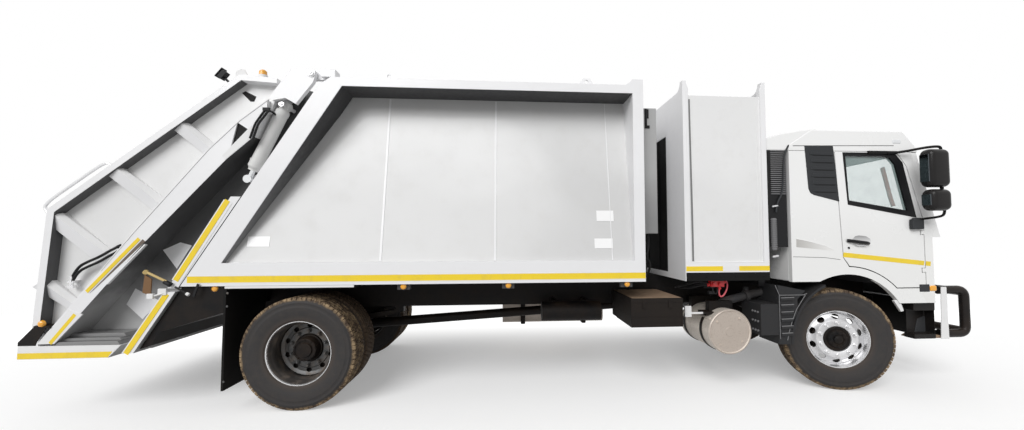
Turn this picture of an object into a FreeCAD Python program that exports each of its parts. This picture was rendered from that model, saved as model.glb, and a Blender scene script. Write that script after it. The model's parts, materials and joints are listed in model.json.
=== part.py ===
"""Rear-loading garbage truck: two-axle chassis, tilt cab, equipment bin, compactor body and tailgate.

Units are millimetres. +X points forward, +Y to the truck's left, +Z up, and Z is 0 on the ground.
X positions in the tables and profiles are measured from the rear axle; every sub-part is then moved
by the same amount so that the document's origin lies under the middle of the truck's length.
"""
import FreeCAD, Part
import Sketcher
import math
import os
import re

from FreeCAD import Placement, Rotation, Vector

doc = FreeCAD.newDocument("GarbageTruck")

# ---------------------------------------------------------------------------------------------
# Driving dimensions: alias, value, meaning. Lengths are in mm and angles in degrees.
# ---------------------------------------------------------------------------------------------
DIMENSIONS = [
    ("wheelbase", 5500, "rear axle to front axle"),
    ("rear_overhang", 2344, "rear axle to the back of the loading sill"),
    ("front_overhang", 1510, "front axle to the nose of the bull bar"),
    ("overall_width", 2500, "over the compactor body and the tailgate"),
    # wheels
    ("tyre_radius", 525, "outer radius of every tyre"),
    ("tyre_width", 275, "section width of every tyre"),
    ("rim_seat_radius", 286, "bead seat of the rim"),
    ("rim_flange_radius", 300, "outer radius of the rim's flange"),
    ("rim_width", 230, "over the rim's flanges"),
    ("rim_wall", 14, "rolled wall of the rim and thickness of its disc"),
    ("twin_spacing", 330, "middle to middle of the twin rear tyres"),
    ("front_wheel_y", 1022, "centre line of a front tyre"),
    ("rear_wheel_y", 1082, "centre line of an outer rear tyre"),
    ("front_disc_offset", 65, "disc face outboard of the front rim's middle"),
    ("rear_disc_inset", 110, "disc face inboard of the outer rear rim's middle"),
    ("drum_radius", 205, "brake drum"),
    ("hub_radius", 110, "wheel hub"),
    ("spindle_radius", 40, "stub axle inside the hub"),
    ("running_gap", 0.05, "radial clearance of shafts in bores"),
    ("seat_gap", 0.3, "clearance of curved parts that rest on each other"),
    ("steer_angle", 17, "front wheels turned to the right as the truck is parked"),
    ("kingpin_y", 900, "kingpin axis"),
    ("kingpin_radius", 24, "kingpin"),
    ("steering_arm", 190, "kingpin to the ball joint of the tie rod"),
    # chassis
    ("rail_outer_y", 430, "outer face of a chassis rail"),
    ("rail_flange", 80, "flange width of a chassis rail"),
    ("rail_web", 10, "plate thickness of a chassis rail"),
    ("rail_bottom", 830, "underside of the chassis rails"),
    ("rail_top", 1080, "top of the chassis rails"),
    ("rail_rear_x", -800, "rear end of the chassis rails"),
    ("rail_nose", 880, "chassis rail forward of the front axle"),
    ("axle_radius", 75, "tube of the rear axle"),
    ("spring_width", 80, "leaf spring width"),
    # compactor body
    ("floor_bottom", 1165, "underside of the compactor body and the bin"),
    ("floor_thickness", 85, "floor of the compactor body"),
    ("body_front_x", 3320, "front face of the compactor body"),
    ("side_rail_top", 1375, "top of the lower side rail"),
    ("side_rail_depth", 120, "width of the lower side rail"),
    ("roof_top", 3145, "top of the roof and of the upper side rail"),
    ("roof_rail_bottom", 3060, "underside of the upper side rail"),
    ("roof_rail_depth", 390, "width of the upper side rail"),
    ("post_width", 110, "front corner post"),
    ("post_top", 3205, "top of the front corner posts"),
    ("wall_thickness", 60, "side panel of the compactor body"),
    ("seal_foot_x", -1378, "seal plane of the tailgate at seal_foot_z"),
    ("seal_foot_z", 590, "lower end of the seal plane"),
    ("seal_angle", 31.7, "seal plane from the vertical"),
    ("frame_width", 185, "inclined rear post, across"),
    ("frame_depth", 300, "inclined rear post, from the body's side inwards"),
    ("housing_depth", 190, "ram housing on the body's front wall"),
    ("housing_half_width", 1100, "half width of the ram housing"),
    ("lug_hole_radius", 20, "hole in a roof lifting lug"),
    # tailgate
    ("hinge_x", 80, "tailgate hinge"),
    ("hinge_z", 3178, "tailgate hinge"),
    ("hinge_pin_radius", 25, "tailgate hinge pin"),
    ("tailgate_recess", 280, "recessed tailgate wall, inboard of the tailgate's side"),
    ("tailgate_wall", 40, "thickness of the recessed tailgate wall"),
    ("seal_gap", 8, "tailgate to compactor body along the seal plane"),
    ("ram_top_x", -205, "lift cylinder, upper pin"),
    ("ram_top_z", 2884, "lift cylinder, upper pin"),
    ("ram_foot_x", -526, "lift cylinder, rod eye"),
    ("ram_foot_z", 2170, "lift cylinder, rod eye"),
    ("ram_inset", 120, "centre line of the lift cylinders, inboard of the tailgate's side"),
    ("ram_radius", 46, "barrel of a lift cylinder"),
    ("ram_rod_radius", 26, "rod of a lift cylinder"),
    ("ram_pin_radius", 18, "pins of a lift cylinder"),
    ("slide_top_x", -400, "packer slide axis, upper end"),
    ("slide_top_z", 2800, "packer slide axis, upper end"),
    ("slide_angle", 40, "packer slide axis from the vertical"),
    ("carriage_start", 560, "top of the packer carriage along the slide axis"),
    ("blade_hinge_at", 1400, "blade hinge along the slide axis"),
    ("blade_length", 640, "blade hinge to blade tip"),
    ("packer_gap", 35, "edge of the carriage and the blade to the tailgate's wall"),
    # bin
    ("bin_rear_x", 3730, "rear face of the equipment bin"),
    ("bin_length", 885, "equipment bin"),
    ("bin_side_top", 3060, "top of the bin's side panels"),
    ("bin_end_top", 3210, "top of the bin's end walls"),
    ("bin_wall", 40, "wall of the bin"),
    ("bin_door_half_width", 800, "half width of the opening in the bin's rear wall"),
    ("bin_door_top", 2735, "top of the opening in the bin's rear wall"),
    # cab; X is measured from the front axle
    ("cab_half_width", 1200, "outer face of the cab's sides"),
    ("cab_back", -610, "outer face of the cab's back wall"),
    ("cab_front", 1110, "outer face of the cab's front panel"),
    ("cab_wall", 50, "thickness of the cab's walls and doors"),
    ("cab_floor_z", 1200, "underside of the cab's floor"),
    ("cab_eaves_z", 2570, "gutter of the cab"),
    ("cab_roof_z", 2735, "top of the cab's roof"),
    ("cab_waist_z", 1600, "foot of the windscreen"),
    ("cab_chin_z", 905, "lower edge of the cab's front"),
    ("cab_arch_radius", 688, "wheel arch cut in the cab's sides, about the front axle"),
    ("door_sill_radius", 765, "lower edge of the cab door, about the front axle"),
    ("door_rear", -105, "rear edge of the cab door, at its top"),
    ("door_front", 890, "front edge of the cab door"),
    ("door_gap", 10, "gap round a cab door"),
    ("door_hinge_back", 30, "door hinge axis, behind the doorway's front edge"),
    ("door_hinge_in", 5, "door hinge axis, inboard of the cab's side"),
    ("door_pin_radius", 4, "door hinge pin"),
    ("door_eye_radius", 9, "door hinge eye"),
    ("mirror_y", 1440, "middle of the mirror heads"),
    ("arch_gap", 50, "turned front tyre to its mudguard"),
    ("seat_y", 560, "middle of a seat, and of the steering column"),
    ("column_length", 242, "steering column, from its foot to the wheel's boss"),
    ("column_angle", 38, "steering column from the vertical"),
    ("steering_wheel_radius", 225, "middle of the steering wheel's rim"),
]

sheet = doc.addObject("Spreadsheet::Sheet", "Dims")
for row, (alias, value, meaning) in enumerate(DIMENSIONS, start=1):
    sheet.set(f"A{row}", alias)
    sheet.set(f"B{row}", str(value))
    sheet.set(f"C{row}", meaning)
    sheet.setAlias(f"B{row}", alias)
doc.recompute()
ALIASES = {alias for alias, _, _ in DIMENSIONS}

# Places worked out from the dimensions above, under names that expressions use like the aliases.
DERIVED = {
    "tailgate_wall_y": "(overall_width / 2 - tailgate_recess)",
    "ram_y": "(overall_width / 2 - ram_inset)",
    "packer_half_width": "(overall_width / 2 - tailgate_recess - tailgate_wall - packer_gap)",
}
# X of the rear axle and of the front axle in the document.
REAR_AXLE = "(rear_overhang - front_overhang - wheelbase) / 2"
FRONT_AXLE = f"({REAR_AXLE} + wheelbase)"
HALF_WIDTH = "overall_width / 2"
# A front wheel lies outboard of its kingpin, so turning it carries it this much further back or forward.
WHEEL_SWING = "(front_wheel_y - kingpin_y) * sin(steer_angle * 1 deg)"
ARCH_RADIUS = f"(tyre_radius + {WHEEL_SWING} + arch_gap)"


def cells(text):
    """An expression in plain names, rewritten with the sheet's name before each alias."""
    def with_sheet(match):
        word = match.group()
        if word in DERIVED:
            return cells(DERIVED[word])
        return f"Dims.{word}" if word in ALIASES else word
    return re.sub(r"[a-z_][a-z0-9_]*", with_sheet, str(text))


def size_of(text):
    """The present value of an expression."""
    value = sheet.evalExpression(cells(text))
    return float(getattr(value, "Value", value))


def bind(obj, prop, text):
    obj.setExpression(prop, cells(text))


def move_to(obj, x="0", y="0", z="0", datum=REAR_AXLE):
    """Bind an object's position; X counts from the datum."""
    bind(obj, "Placement.Base.x", f"{datum} + {x}")
    bind(obj, "Placement.Base.y", y)
    bind(obj, "Placement.Base.z", z)


# ---------------------------------------------------------------------------------------------
# Makers of simple objects
# ---------------------------------------------------------------------------------------------
def box(name, x, y, z, datum=REAR_AXLE):
    """Part::Box between two expressions on each axis."""
    obj = doc.addObject("Part::Box", name)
    bind(obj, "Length", f"({x[1]}) - ({x[0]})")
    bind(obj, "Width", f"({y[1]}) - ({y[0]})")
    bind(obj, "Height", f"({z[1]}) - ({z[0]})")
    move_to(obj, x[0], y[0], z[0], datum)
    return obj


TURN_TO = {
    "X": Rotation(Vector(0, 1, 0), 90),
    "Y": Rotation(Vector(1, 0, 0), -90),
    "Z": Rotation(),
}


def cylinder(name, axis, radius, length, x, y, z, datum=REAR_AXLE):
    """Part::Cylinder that starts at (x, y, z) and runs along +axis."""
    obj = doc.addObject("Part::Cylinder", name)
    obj.Placement = Placement(Vector(), TURN_TO[axis])
    bind(obj, "Radius", radius)
    bind(obj, "Height", length)
    move_to(obj, x, y, z, datum)
    return obj


def strut(name, radius, start, end, datum=REAR_AXLE):
    """Round bar between two points given as expressions."""
    first = Vector(*[size_of(c) for c in start])
    last = Vector(*[size_of(c) for c in end])
    obj = doc.addObject("Part::Cylinder", name)
    obj.Placement = Placement(Vector(), Rotation(Vector(0, 0, 1), last - first))
    bind(obj, "Radius", radius)
    squares = " + ".join(f"(({b}) - ({a})) ^ 2" for a, b in zip(start, end))
    bind(obj, "Height", f"sqrt({squares})")
    move_to(obj, start[0], start[1], start[2], datum)
    return obj


PLANES = {"XY": "XY_Plane", "XZ": "XZ_Plane", "YZ": "YZ_Plane"}


def start_body(name, plane):
    body = doc.addObject("PartDesign::Body", name)
    sketch = body.newObject("Sketcher::SketchObject", name + "_sketch")
    for feature in body.Origin.OriginFeatures:
        if feature.Role == PLANES[plane]:
            sketch.AttachmentSupport = [(feature, "")]
    sketch.MapMode = "FlatFace"
    return body, sketch


def draw_outline(sketch, points):
    """A closed outline of straight lines whose corners are bound to expressions."""
    corners = [Vector(size_of(u), size_of(v), 0) for u, v in points]
    for index, corner in enumerate(corners):
        following = corners[(index + 1) % len(corners)]
        sketch.addGeometry(Part.LineSegment(corner, following), False)
    count = len(corners)
    for index in range(count):
        sketch.addConstraint(Sketcher.Constraint("Coincident", index, 2, (index + 1) % count, 1))
    for index, (u, v) in enumerate(points):
        for kind, text, value in (("DistanceX", u, corners[index].x), ("DistanceY", v, corners[index].y)):
            number = sketch.addConstraint(Sketcher.Constraint(kind, -1, 1, index, 1, value))
            sketch.setExpression(f"Constraints[{number}]", cells(text))


def profile(name, plane, points, low, high, datum=REAR_AXLE):
    """PartDesign body: an outline on a plane, padded from low to high across it.

    On XZ the points are (x, z) and the pad runs in Y; on XY (x, y) and Z; on YZ (y, z) and X.
    """
    body, sketch = start_body(name, plane)
    draw_outline(sketch, points)
    pad = body.newObject("PartDesign::Pad", name + "_pad")
    pad.Profile = sketch
    bind(pad, "Length", f"({high}) - ({low})")
    body.Tip = pad
    if plane == "XZ":
        move_to(body, "0", high, "0", datum)
    elif plane == "XY":
        move_to(body, "0", "0", low, datum)
    else:
        move_to(body, low, "0", "0", datum)
    return body


def turned(name, points):
    """PartDesign body turned about the Y axis; the points are (radius, y)."""
    body, sketch = start_body(name, "XY")
    draw_outline(sketch, points)
    revolution = body.newObject("PartDesign::Revolution", name + "_turn")
    revolution.Profile = sketch
    revolution.ReferenceAxis = (sketch, ["V_Axis"])
    revolution.Angle = 360
    body.Tip = revolution
    return body


def joined(name, *parts):
    obj = doc.addObject("Part::MultiFuse", name)
    obj.Shapes = list(parts)
    return obj


def cut(name, base, *tools):
    """Base less every tool."""
    obj = doc.addObject("Part::Cut", name)
    obj.Base = base
    obj.Tool = tools[0] if len(tools) == 1 else joined(name + "_tools", *tools)
    return obj


def common(name, base, tool):
    obj = doc.addObject("Part::Common", name)
    obj.Base = base
    obj.Tool = tool
    return obj


def mirrored(name, source):
    """The same thing on the truck's left side."""
    obj = doc.addObject("Part::Mirroring", name)
    obj.Source = source
    obj.Normal = Vector(0, 1, 0)
    obj.Base = Vector(0, 0, 0)
    return obj


def group(name, *parts):
    """Like solids that do not touch, kept in one sub-part."""
    obj = doc.addObject("Part::Compound", name)
    obj.Links = list(parts)
    return obj


NODES = []


def node(label, obj):
    """Give a finished sub-part its label, which names its file."""
    obj.Label = label
    NODES.append(obj)
    return obj


def both_sides(label, right):
    """A pair of like solids, right and left, in one sub-part."""
    return node(label, group(label + "_pair", right, mirrored(label + "_left", right)))


# ---------------------------------------------------------------------------------------------
# Chassis
# ---------------------------------------------------------------------------------------------
def make_chassis_frame():
    """Two C-section rails, cross members and the runners under the body and the bin."""
    front = "wheelbase + rail_nose"
    rail = cut(
        "rail",
        box("rail_bar", ("rail_rear_x", front), ("-rail_outer_y", "-rail_outer_y + rail_flange"),
            ("rail_bottom", "rail_top")),
        box("rail_hollow", ("rail_rear_x - 10", f"{front} + 10"),
            ("-rail_outer_y + rail_web", "-rail_outer_y + rail_flange + 10"),
            ("rail_bottom + rail_web", "rail_top - rail_web")),
    )
    runner = box("runner", ("rail_rear_x", "bin_rear_x + bin_length"),
                 ("-rail_outer_y", "-rail_outer_y + rail_flange"), ("rail_top", "floor_bottom"))
    right = joined("rail_and_runner", rail, runner)
    pieces = [right, mirrored("rail_and_runner_left", right)]
    # cross member, X of its middle
    cross_members = [("tail", "rail_rear_x + 80"), ("rear", "1000"), ("middle", "wheelbase / 2"),
                     ("tank", "wheelbase - 1500"), ("nose", "wheelbase + rail_nose - 60")]
    for name, middle in cross_members:
        pieces.append(box(f"cross_member_{name}", (f"{middle} - 35", f"{middle} + 35"),
                          ("-rail_outer_y + rail_web", "rail_outer_y - rail_web"),
                          ("rail_bottom + 40", "rail_top - 40")))
    node("chassis_frame", joined("chassis_frame_fuse", *pieces))


def make_driveline():
    """Engine and gearbox as one block, and the propeller shaft to the rear axle."""
    engine = box("engine_core", ("-330", "530"), ("-300", "300"), ("700", "1130"), FRONT_AXLE)
    bell = box("gearbox_core", ("-1150", "-330"), ("-190", "190"), ("640", "980"), FRONT_AXLE)
    mounts = box("engine_mounts", ("-60", "60"), ("-rail_outer_y + rail_web", "rail_outer_y - rail_web"),
                 ("rail_bottom + rail_web", "rail_bottom + 70"), FRONT_AXLE)
    mounts_back = box("gearbox_mounts", ("-900", "-820"),
                      ("-rail_outer_y + rail_web", "rail_outer_y - rail_web"),
                      ("rail_bottom + rail_web", "rail_bottom + 70"), FRONT_AXLE)
    sump = box("oil_sump", ("-250", "350"), ("-170", "170"), ("600", "700"), FRONT_AXLE)
    node("engine_block", joined("engine_fuse", engine, bell, mounts, mounts_back, sump))
    shaft_rear = ("290", "0", "tyre_radius + 35")
    shaft_front = ("wheelbase - 1150", "0", "810")
    tube = strut("shaft_tube", "55", shaft_rear, shaft_front)
    node("propeller_shaft", cut("propeller_shaft_cut", tube,
                                box("shaft_trim_front", ("wheelbase - 1150", "wheelbase - 900"),
                                    ("-200", "200"), ("600", "1000")),
                                box("shaft_trim_rear", ("200", "300"), ("-200", "200"), ("400", "800"))))


def make_axles():
    """Front beam with its yokes, rear axle housing and the leaf springs under the rails."""
    beam_z = "tyre_radius - 60"
    middle = box("beam_middle", ("-45", "45"), ("-kingpin_y + 150", "kingpin_y - 150"),
                 (f"{beam_z} - 70", f"{beam_z} + 40"), FRONT_AXLE)
    ends = []
    for side in (-1, 1):
        outer = f"{side} * kingpin_y"
        eye = cylinder(f"beam_eye_{side}", "Z", "48", "110", "0", outer, "tyre_radius - 55", FRONT_AXLE)
        y_range = ((f"{outer}", "-kingpin_y + 200") if side < 0 else ("kingpin_y - 200", outer))
        arm = box(f"beam_arm_{side}", ("-40", "40"), y_range,
                  ("tyre_radius - 50", "tyre_radius + 45"), FRONT_AXLE)
        y_leg = (("-kingpin_y + 140", "-kingpin_y + 200") if side < 0
                 else ("kingpin_y - 200", "kingpin_y - 140"))
        leg = box(f"beam_leg_{side}", ("-40", "40"), y_leg,
                  (f"{beam_z} - 70", "tyre_radius + 45"), FRONT_AXLE)
        bore = cylinder(f"beam_bore_{side}", "Z", "kingpin_radius + running_gap", "200",
                        "0", outer, "tyre_radius - 100", FRONT_AXLE)
        ends.append(cut(f"beam_end_{side}", joined(f"beam_end_solid_{side}", eye, arm, leg), bore))
    node("front_axle_beam", joined("front_beam_fuse", middle, *ends))

    hub_end = "rear_wheel_y - rear_disc_inset + 60"
    tube = cylinder("axle_tube", "Y", "axle_radius", "2 * 660", "0", "-660", "tyre_radius")
    spindles = cylinder("axle_spindle", "Y", "spindle_radius", f"2 * ({hub_end})", "0",
                        f"-({hub_end})", "tyre_radius")
    bowl = doc.addObject("Part::Sphere", "differential")
    bowl.Radius = 215
    move_to(bowl, "0", "0", "tyre_radius")
    nose = cylinder("pinion_nose", "X", "80", "290", "0", "0", "tyre_radius + 35")
    seats = [box(f"spring_seat_{side}", ("-70", "70"), (f"{side} * 390 - 45", f"{side} * 390 + 45"),
                 ("tyre_radius", "tyre_radius + 90")) for side in (-1, 1)]
    node("rear_axle_housing", joined("rear_axle_fuse", tube, spindles, bowl, nose, *seats))

    springs = []
    # axle, datum, height of the seat, half length of the main leaf
    layout = [("front", FRONT_AXLE, "tyre_radius - 20", "720"),
              ("rear", REAR_AXLE, "tyre_radius + 90", "780")]
    for name, datum, seat, reach in layout:
        outline = [(f"-({reach})", "rail_bottom - 60"), ("-250", f"{seat} + 45"), ("-80", seat), ("80", seat),
                   ("250", f"{seat} + 45"), (reach, "rail_bottom - 60"), (reach, "rail_bottom"),
                   (f"{reach} - 90", "rail_bottom"), (f"{reach} - 90", "rail_bottom - 40"),
                   ("90", f"{seat} + 95"), ("-90", f"{seat} + 95"), (f"-({reach}) + 90", "rail_bottom - 40"),
                   (f"-({reach}) + 90", "rail_bottom"), (f"-({reach})", "rail_bottom")]
        right = profile(f"spring_{name}", "XZ", outline, "-rail_outer_y", "-rail_outer_y + spring_width",
                        datum)
        springs += [right, mirrored(f"spring_{name}_left", right)]
    node("leaf_springs", group("leaf_springs_group", *springs))


def make_underbody():
    """Fuel tank, battery box, air tanks, silencer, mudguards and mud flaps."""
    tank = box("tank_shell", ("1900", "3300"), ("rail_outer_y + 40", "rail_outer_y + 700"), ("430", "1030"))
    tank_edge = doc.addObject("Part::Fillet", "tank_round")
    tank_edge.Base = tank
    doc.recompute()
    long_edges = [i + 1 for i, e in enumerate(tank.Shape.Edges)
                  if abs(e.BoundBox.XLength - tank.Shape.BoundBox.XLength) < 1]
    tank_edge.Edges = [(i, 90, 90) for i in long_edges]
    arms = [box(f"tank_bracket_{i}", (f"{x} - 30", f"{x} + 30"), ("rail_outer_y", "rail_outer_y + 60"),
                ("rail_bottom + 20", "rail_top - 20")) for i, x in enumerate(("2200", "3000"))]
    node("fuel_tank", joined("fuel_tank_fuse", tank_edge, *arms))

    case = box("battery_case", ("3200", "3735"), ("-1150", "-600"), ("695", "985"))
    shelf = box("battery_shelf", ("3260", "3675"), ("-640", "-rail_outer_y"), ("850", "900"))
    node("battery_box", joined("battery_box_fuse", case, shelf))

    tank_x, tank_y, tank_z = "2330", "-700", "795"
    shell = cylinder("air_tank_shell", "X", "105", "650", tank_x, tank_y, tank_z)
    hangers = [box(f"air_tank_hanger_{at}", (f"{tank_x} + {at} - 20", f"{tank_x} + {at} + 20"),
                   (tank_y, "-rail_outer_y"), (f"{tank_z} + 60", f"{tank_z} + 110"))
               for at in ("150", "500")]
    node("air_tanks", joined("air_tank_fuse", shell, *hangers))

    muffler = cylinder("silencer_shell", "Y", "225", "640", "4240", "-1150", "630")
    cradle = box("silencer_cradle", ("4120", "4360"), ("-560", "-rail_outer_y"), ("700", "rail_bottom + 120"))
    inlet = cylinder("silencer_pipe", "X", "45", "420", "4240", "-800", "900")
    drop = cylinder("silencer_drop", "Z", "45", "160", "4280", "-800", "760")
    node("silencer", joined("silencer_fuse", muffler, cradle, inlet, drop))

    # arch-shaped guard behind and over each front tyre, with a step box behind it
    outer = cylinder("guard_outer", "Y", f"{ARCH_RADIUS} + 25", "350", "0", "-1200", "tyre_radius",
                     FRONT_AXLE)
    inner = cylinder("guard_inner", "Y", ARCH_RADIUS, "400", "0", "-1225", "tyre_radius", FRONT_AXLE)
    keep = box("guard_keep", (f"-{ARCH_RADIUS} - 60", "-250"), ("-1210", "-830"),
               ("tyre_radius - 20", "cab_floor_z - 90"), FRONT_AXLE)
    guard = common("guard", cut("guard_ring", outer, inner), keep)
    backing = profile("guard_backing", "XZ",
                      [("-770", "505"), ("-625", "505"), ("-625", "720"), ("-560", "820"), ("-560", "960"),
                       ("-470", "1050"), ("-770", "1110")], "-1195", "-860", FRONT_AXLE)
    backing_clear = cylinder("guard_backing_clear", "Y", f"{ARCH_RADIUS} + 5", "400", "0", "-1225",
                             "tyre_radius", FRONT_AXLE)
    backing_cut = cut("guard_backing_cut", backing, backing_clear)
    step = box("side_step", ("-960", "-770"), ("-1195", "-860"), ("600", "915"), FRONT_AXLE)
    hanger = box("guard_hanger", ("-760", "-700"), ("-870", "-rail_outer_y"), ("860", "940"), FRONT_AXLE)
    both_sides("front_mudguards", joined("front_mudguard_fuse", guard, backing_cut, step, hanger))

    flap = box("mud_flap", ("-650", "-630"), ("-1240", "-600"), ("215", "1150"))
    flap_bar = box("flap_bar", ("-655", "-625"), ("-1240", "-rail_outer_y"), ("1100", "1150"))
    fender = box("flap_shelf", ("-650", "520"), ("-1240", "-600"), ("1135", "1160"))
    both_sides("rear_mudflaps", joined("mud_flap_fuse", flap, flap_bar, fender))


def make_front_end():
    """Lower bumper with the access step, and the bull bar before it."""
    bumper = profile("bumper_bar", "XY",
                     [("800", "-1130"), ("cab_front - 60", "-1130"), ("cab_front + 40", "-980"),
                      ("cab_front + 40", "980"), ("cab_front - 60", "1130"), ("800", "1130"), ("800", "1010"),
                      ("cab_front - 110", "960"), ("cab_front - 110", "-960"), ("800", "-1010")],
                     "510", "900", FRONT_AXLE)
    # the lower bar is hollowed on each side into a boarding step
    recesses = [box(f"bumper_step_{side}", ("790", "cab_front - 50"),
                    (f"{side} * 1070 - 70", f"{side} * 1070 + 70"), ("560", "810"), FRONT_AXLE)
                    for side in (-1, 1)]
    arms = [box(f"bumper_arm_{side}", ("rail_nose", "cab_front - 100"),
                (f"{side} * (rail_outer_y - 40) - 40", f"{side} * (rail_outer_y - 40) + 40"),
                ("rail_bottom - 60", "rail_bottom + 40"), FRONT_AXLE) for side in (-1, 1)]
    legs = [box(f"bumper_leg_{side}", ("rail_nose - 80", "rail_nose"),
                (f"{side} * (rail_outer_y - 40) - 40", f"{side} * (rail_outer_y - 40) + 40"),
                ("rail_bottom - 60", "rail_bottom"), FRONT_AXLE) for side in (-1, 1)]
    node("front_bumper", joined("front_bumper_fuse", cut("bumper_hollowed", bumper, *recesses), *arms, *legs))

    plates = [box(f"bull_bar_plate_{side}", ("cab_front + 40", "cab_front + 110"),
                  (f"{side} * 900 - 12", f"{side} * 900 + 12"), ("505", "1080"), FRONT_AXLE)
                  for side in (-1, 1)]
    bar = "38"
    nose = f"front_overhang - {bar}"
    tubes = []
    for height in ("1030", "545"):
        tubes.append(cylinder(f"bull_bar_tube_{height}", "Y", bar, "2 * 1080", nose, "-1080", height,
                              FRONT_AXLE))
    for side in (-1, 1):
        tubes.append(cylinder(f"bull_bar_post_{side}", "Z", bar, "1030 - 545", nose, f"{side} * 1080", "545",
                              FRONT_AXLE))
        for height in ("1030", "545"):
            ball = doc.addObject("Part::Sphere", f"bull_bar_corner_{side}_{height}")
            bind(ball, "Radius", bar)
            move_to(ball, nose, f"{side} * 1080", height, FRONT_AXLE)
            tubes.append(ball)
            tubes.append(cylinder(f"bull_bar_return_{side}_{height}", "X", bar, f"{nose} - cab_front - 40",
                                  "cab_front + 40", f"{side} * 1080", height, FRONT_AXLE))
    ties = [box(f"bull_bar_tie_{side}", ("cab_front + 60", "cab_front + 110"),
                (f"{side} * 990 - 100", f"{side} * 990 + 100"), ("520", "570"), FRONT_AXLE)
                for side in (-1, 1)]
    node("bull_bar", joined("bull_bar_fuse", *plates, *tubes, *ties))

    stack = box("intake_stack", ("4650 - wheelbase", "4860 - wheelbase"), ("-1190", "-830"), ("1500", "2640"),
                FRONT_AXLE)
    leg = box("intake_leg", ("4650 - wheelbase", "4720 - wheelbase"),
              ("-1000", "-rail_outer_y + rail_flange"),
              ("rail_top", "1160"), FRONT_AXLE)
    riser = box("intake_riser", ("4650 - wheelbase", "4720 - wheelbase"), ("-1000", "-900"),
                ("1160", "1500"), FRONT_AXLE)
    node("air_intake", joined("air_intake_fuse", stack, leg, riser))


# ---------------------------------------------------------------------------------------------
# Wheels and steering
# ---------------------------------------------------------------------------------------------
def tyre_outline(middle):
    half = "tyre_width / 2"
    seat = "rim_seat_radius + seat_gap"
    return [(seat, f"{middle} - {half} + 36"), ("rim_flange_radius + 6", f"{middle} - {half} + 36"),
            ("rim_flange_radius + 40", f"{middle} - {half} + 8"),
            ("tyre_radius - 120", f"{middle} - {half}"), ("tyre_radius - 35", f"{middle} - {half} + 12"),
            ("tyre_radius", f"{middle} - {half} + 32"), ("tyre_radius", f"{middle} + {half} - 32"),
            ("tyre_radius - 35", f"{middle} + {half} - 12"), ("tyre_radius - 120", f"{middle} + {half}"),
            ("rim_flange_radius + 40", f"{middle} + {half} - 8"),
            ("rim_flange_radius + 6", f"{middle} + {half} - 36"), (seat, f"{middle} + {half} - 36")]


def place_wheel(obj, corner):
    """Put a wheel made on the Y axis at its corner; a front wheel turns with its knuckle."""
    axle, side, wheel_y = corner
    if axle == "rear":
        obj.Placement = Placement(Vector(size_of(REAR_AXLE), 0, size_of("tyre_radius")), Rotation())
        return
    kingpin = Vector(size_of(FRONT_AXLE), side * size_of("kingpin_y"), size_of("tyre_radius"))
    turn = Rotation(Vector(0, 0, 1), -size_of("steer_angle"))
    offset = Vector(0, -side * size_of("kingpin_y"), 0)
    obj.Placement = Placement(kingpin + turn.multVec(offset), turn)


def rim_outline(middle, side):
    """Rolled rim without its disc: well, seats and flanges, as (radius, y)."""
    half = "rim_width / 2"
    seat = "rim_seat_radius"
    inner = "rim_seat_radius - rim_wall"
    return [(inner, f"{middle} - {half}"), ("rim_flange_radius", f"{middle} - {half}"),
            ("rim_flange_radius", f"{middle} - {half} + 8"), (seat, f"{middle} - {half} + 8"),
            (seat, f"{middle} + {half} - 8"), ("rim_flange_radius", f"{middle} + {half} - 8"),
            ("rim_flange_radius", f"{middle} + {half}"), (inner, f"{middle} + {half}")]


def make_wheels():
    """Tyres and wheels: single in front, twins behind, each set turning as one body."""
    for axle in ("front", "rear"):
        for side_name, side in (("right", -1), ("left", 1)):
            corner = f"{axle}_{side_name}"
            if axle == "front":
                middles = [f"{side} * front_wheel_y"]
                disc = f"{side} * (front_wheel_y + front_disc_offset)"
                nose = f"{side} * (front_wheel_y + front_disc_offset + 75)"
                root = f"{side} * (kingpin_y + 90)"
            else:
                middles = [f"{side} * rear_wheel_y", f"{side} * (rear_wheel_y - twin_spacing)"]
                disc = f"{side} * (rear_wheel_y - rear_disc_inset)"
                nose = f"{side} * (rear_wheel_y - rear_disc_inset + 120)"
                root = f"{side} * (rear_wheel_y - twin_spacing - 70)"
            corner_data = (axle, side, middles[0])
            tyres = []
            rims = []
            for index, middle in enumerate(middles):
                tyre = turned(f"{corner}_tyre_{index}", tyre_outline(middle))
                place_wheel(tyre, corner_data)
                tyres.append(tyre)
                rim = turned(f"{corner}_rim_{index}", rim_outline(middle, side))
                place_wheel(rim, corner_data)
                rims.append(rim)
            # disc and hub as one turned profile; it is mirrored by the sign of the side
            bore = "spindle_radius + running_gap"
            hub = turned(f"{corner}_hub", [
                (bore, root), ("drum_radius", root), ("drum_radius", f"{disc} - {side} * 20"),
                ("rim_seat_radius - rim_wall + 2", f"{disc} - {side} * 20"),
                ("rim_seat_radius - rim_wall + 2", disc), ("hub_radius", disc),
                ("hub_radius", nose), (bore, nose)])
            place_wheel(hub, corner_data)
            wheel = [hub] + rims
            if axle == "rear":
                inner_disc = turned(f"{corner}_inner_disc", [
                    ("drum_radius - 5", f"{disc} - {side} * 20"),
                    ("rim_seat_radius - rim_wall + 2", f"{middles[1]} + {side} * rear_disc_inset"),
                    ("rim_seat_radius - rim_wall + 2", f"{middles[1]} + {side} * (rear_disc_inset - 20)"),
                    ("drum_radius - 5", f"{disc} - {side} * 45")])
                place_wheel(inner_disc, corner_data)
                wheel.append(inner_disc)
            plural = "s" if axle == "rear" else ""
            node(f"{corner}_tyre{plural}",
                 tyres[0] if len(tyres) == 1 else group(f"{corner}_tyre_pair", *tyres))
            node(f"{corner}_wheel{plural}", joined(f"{corner}_wheel_fuse", *wheel))


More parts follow.
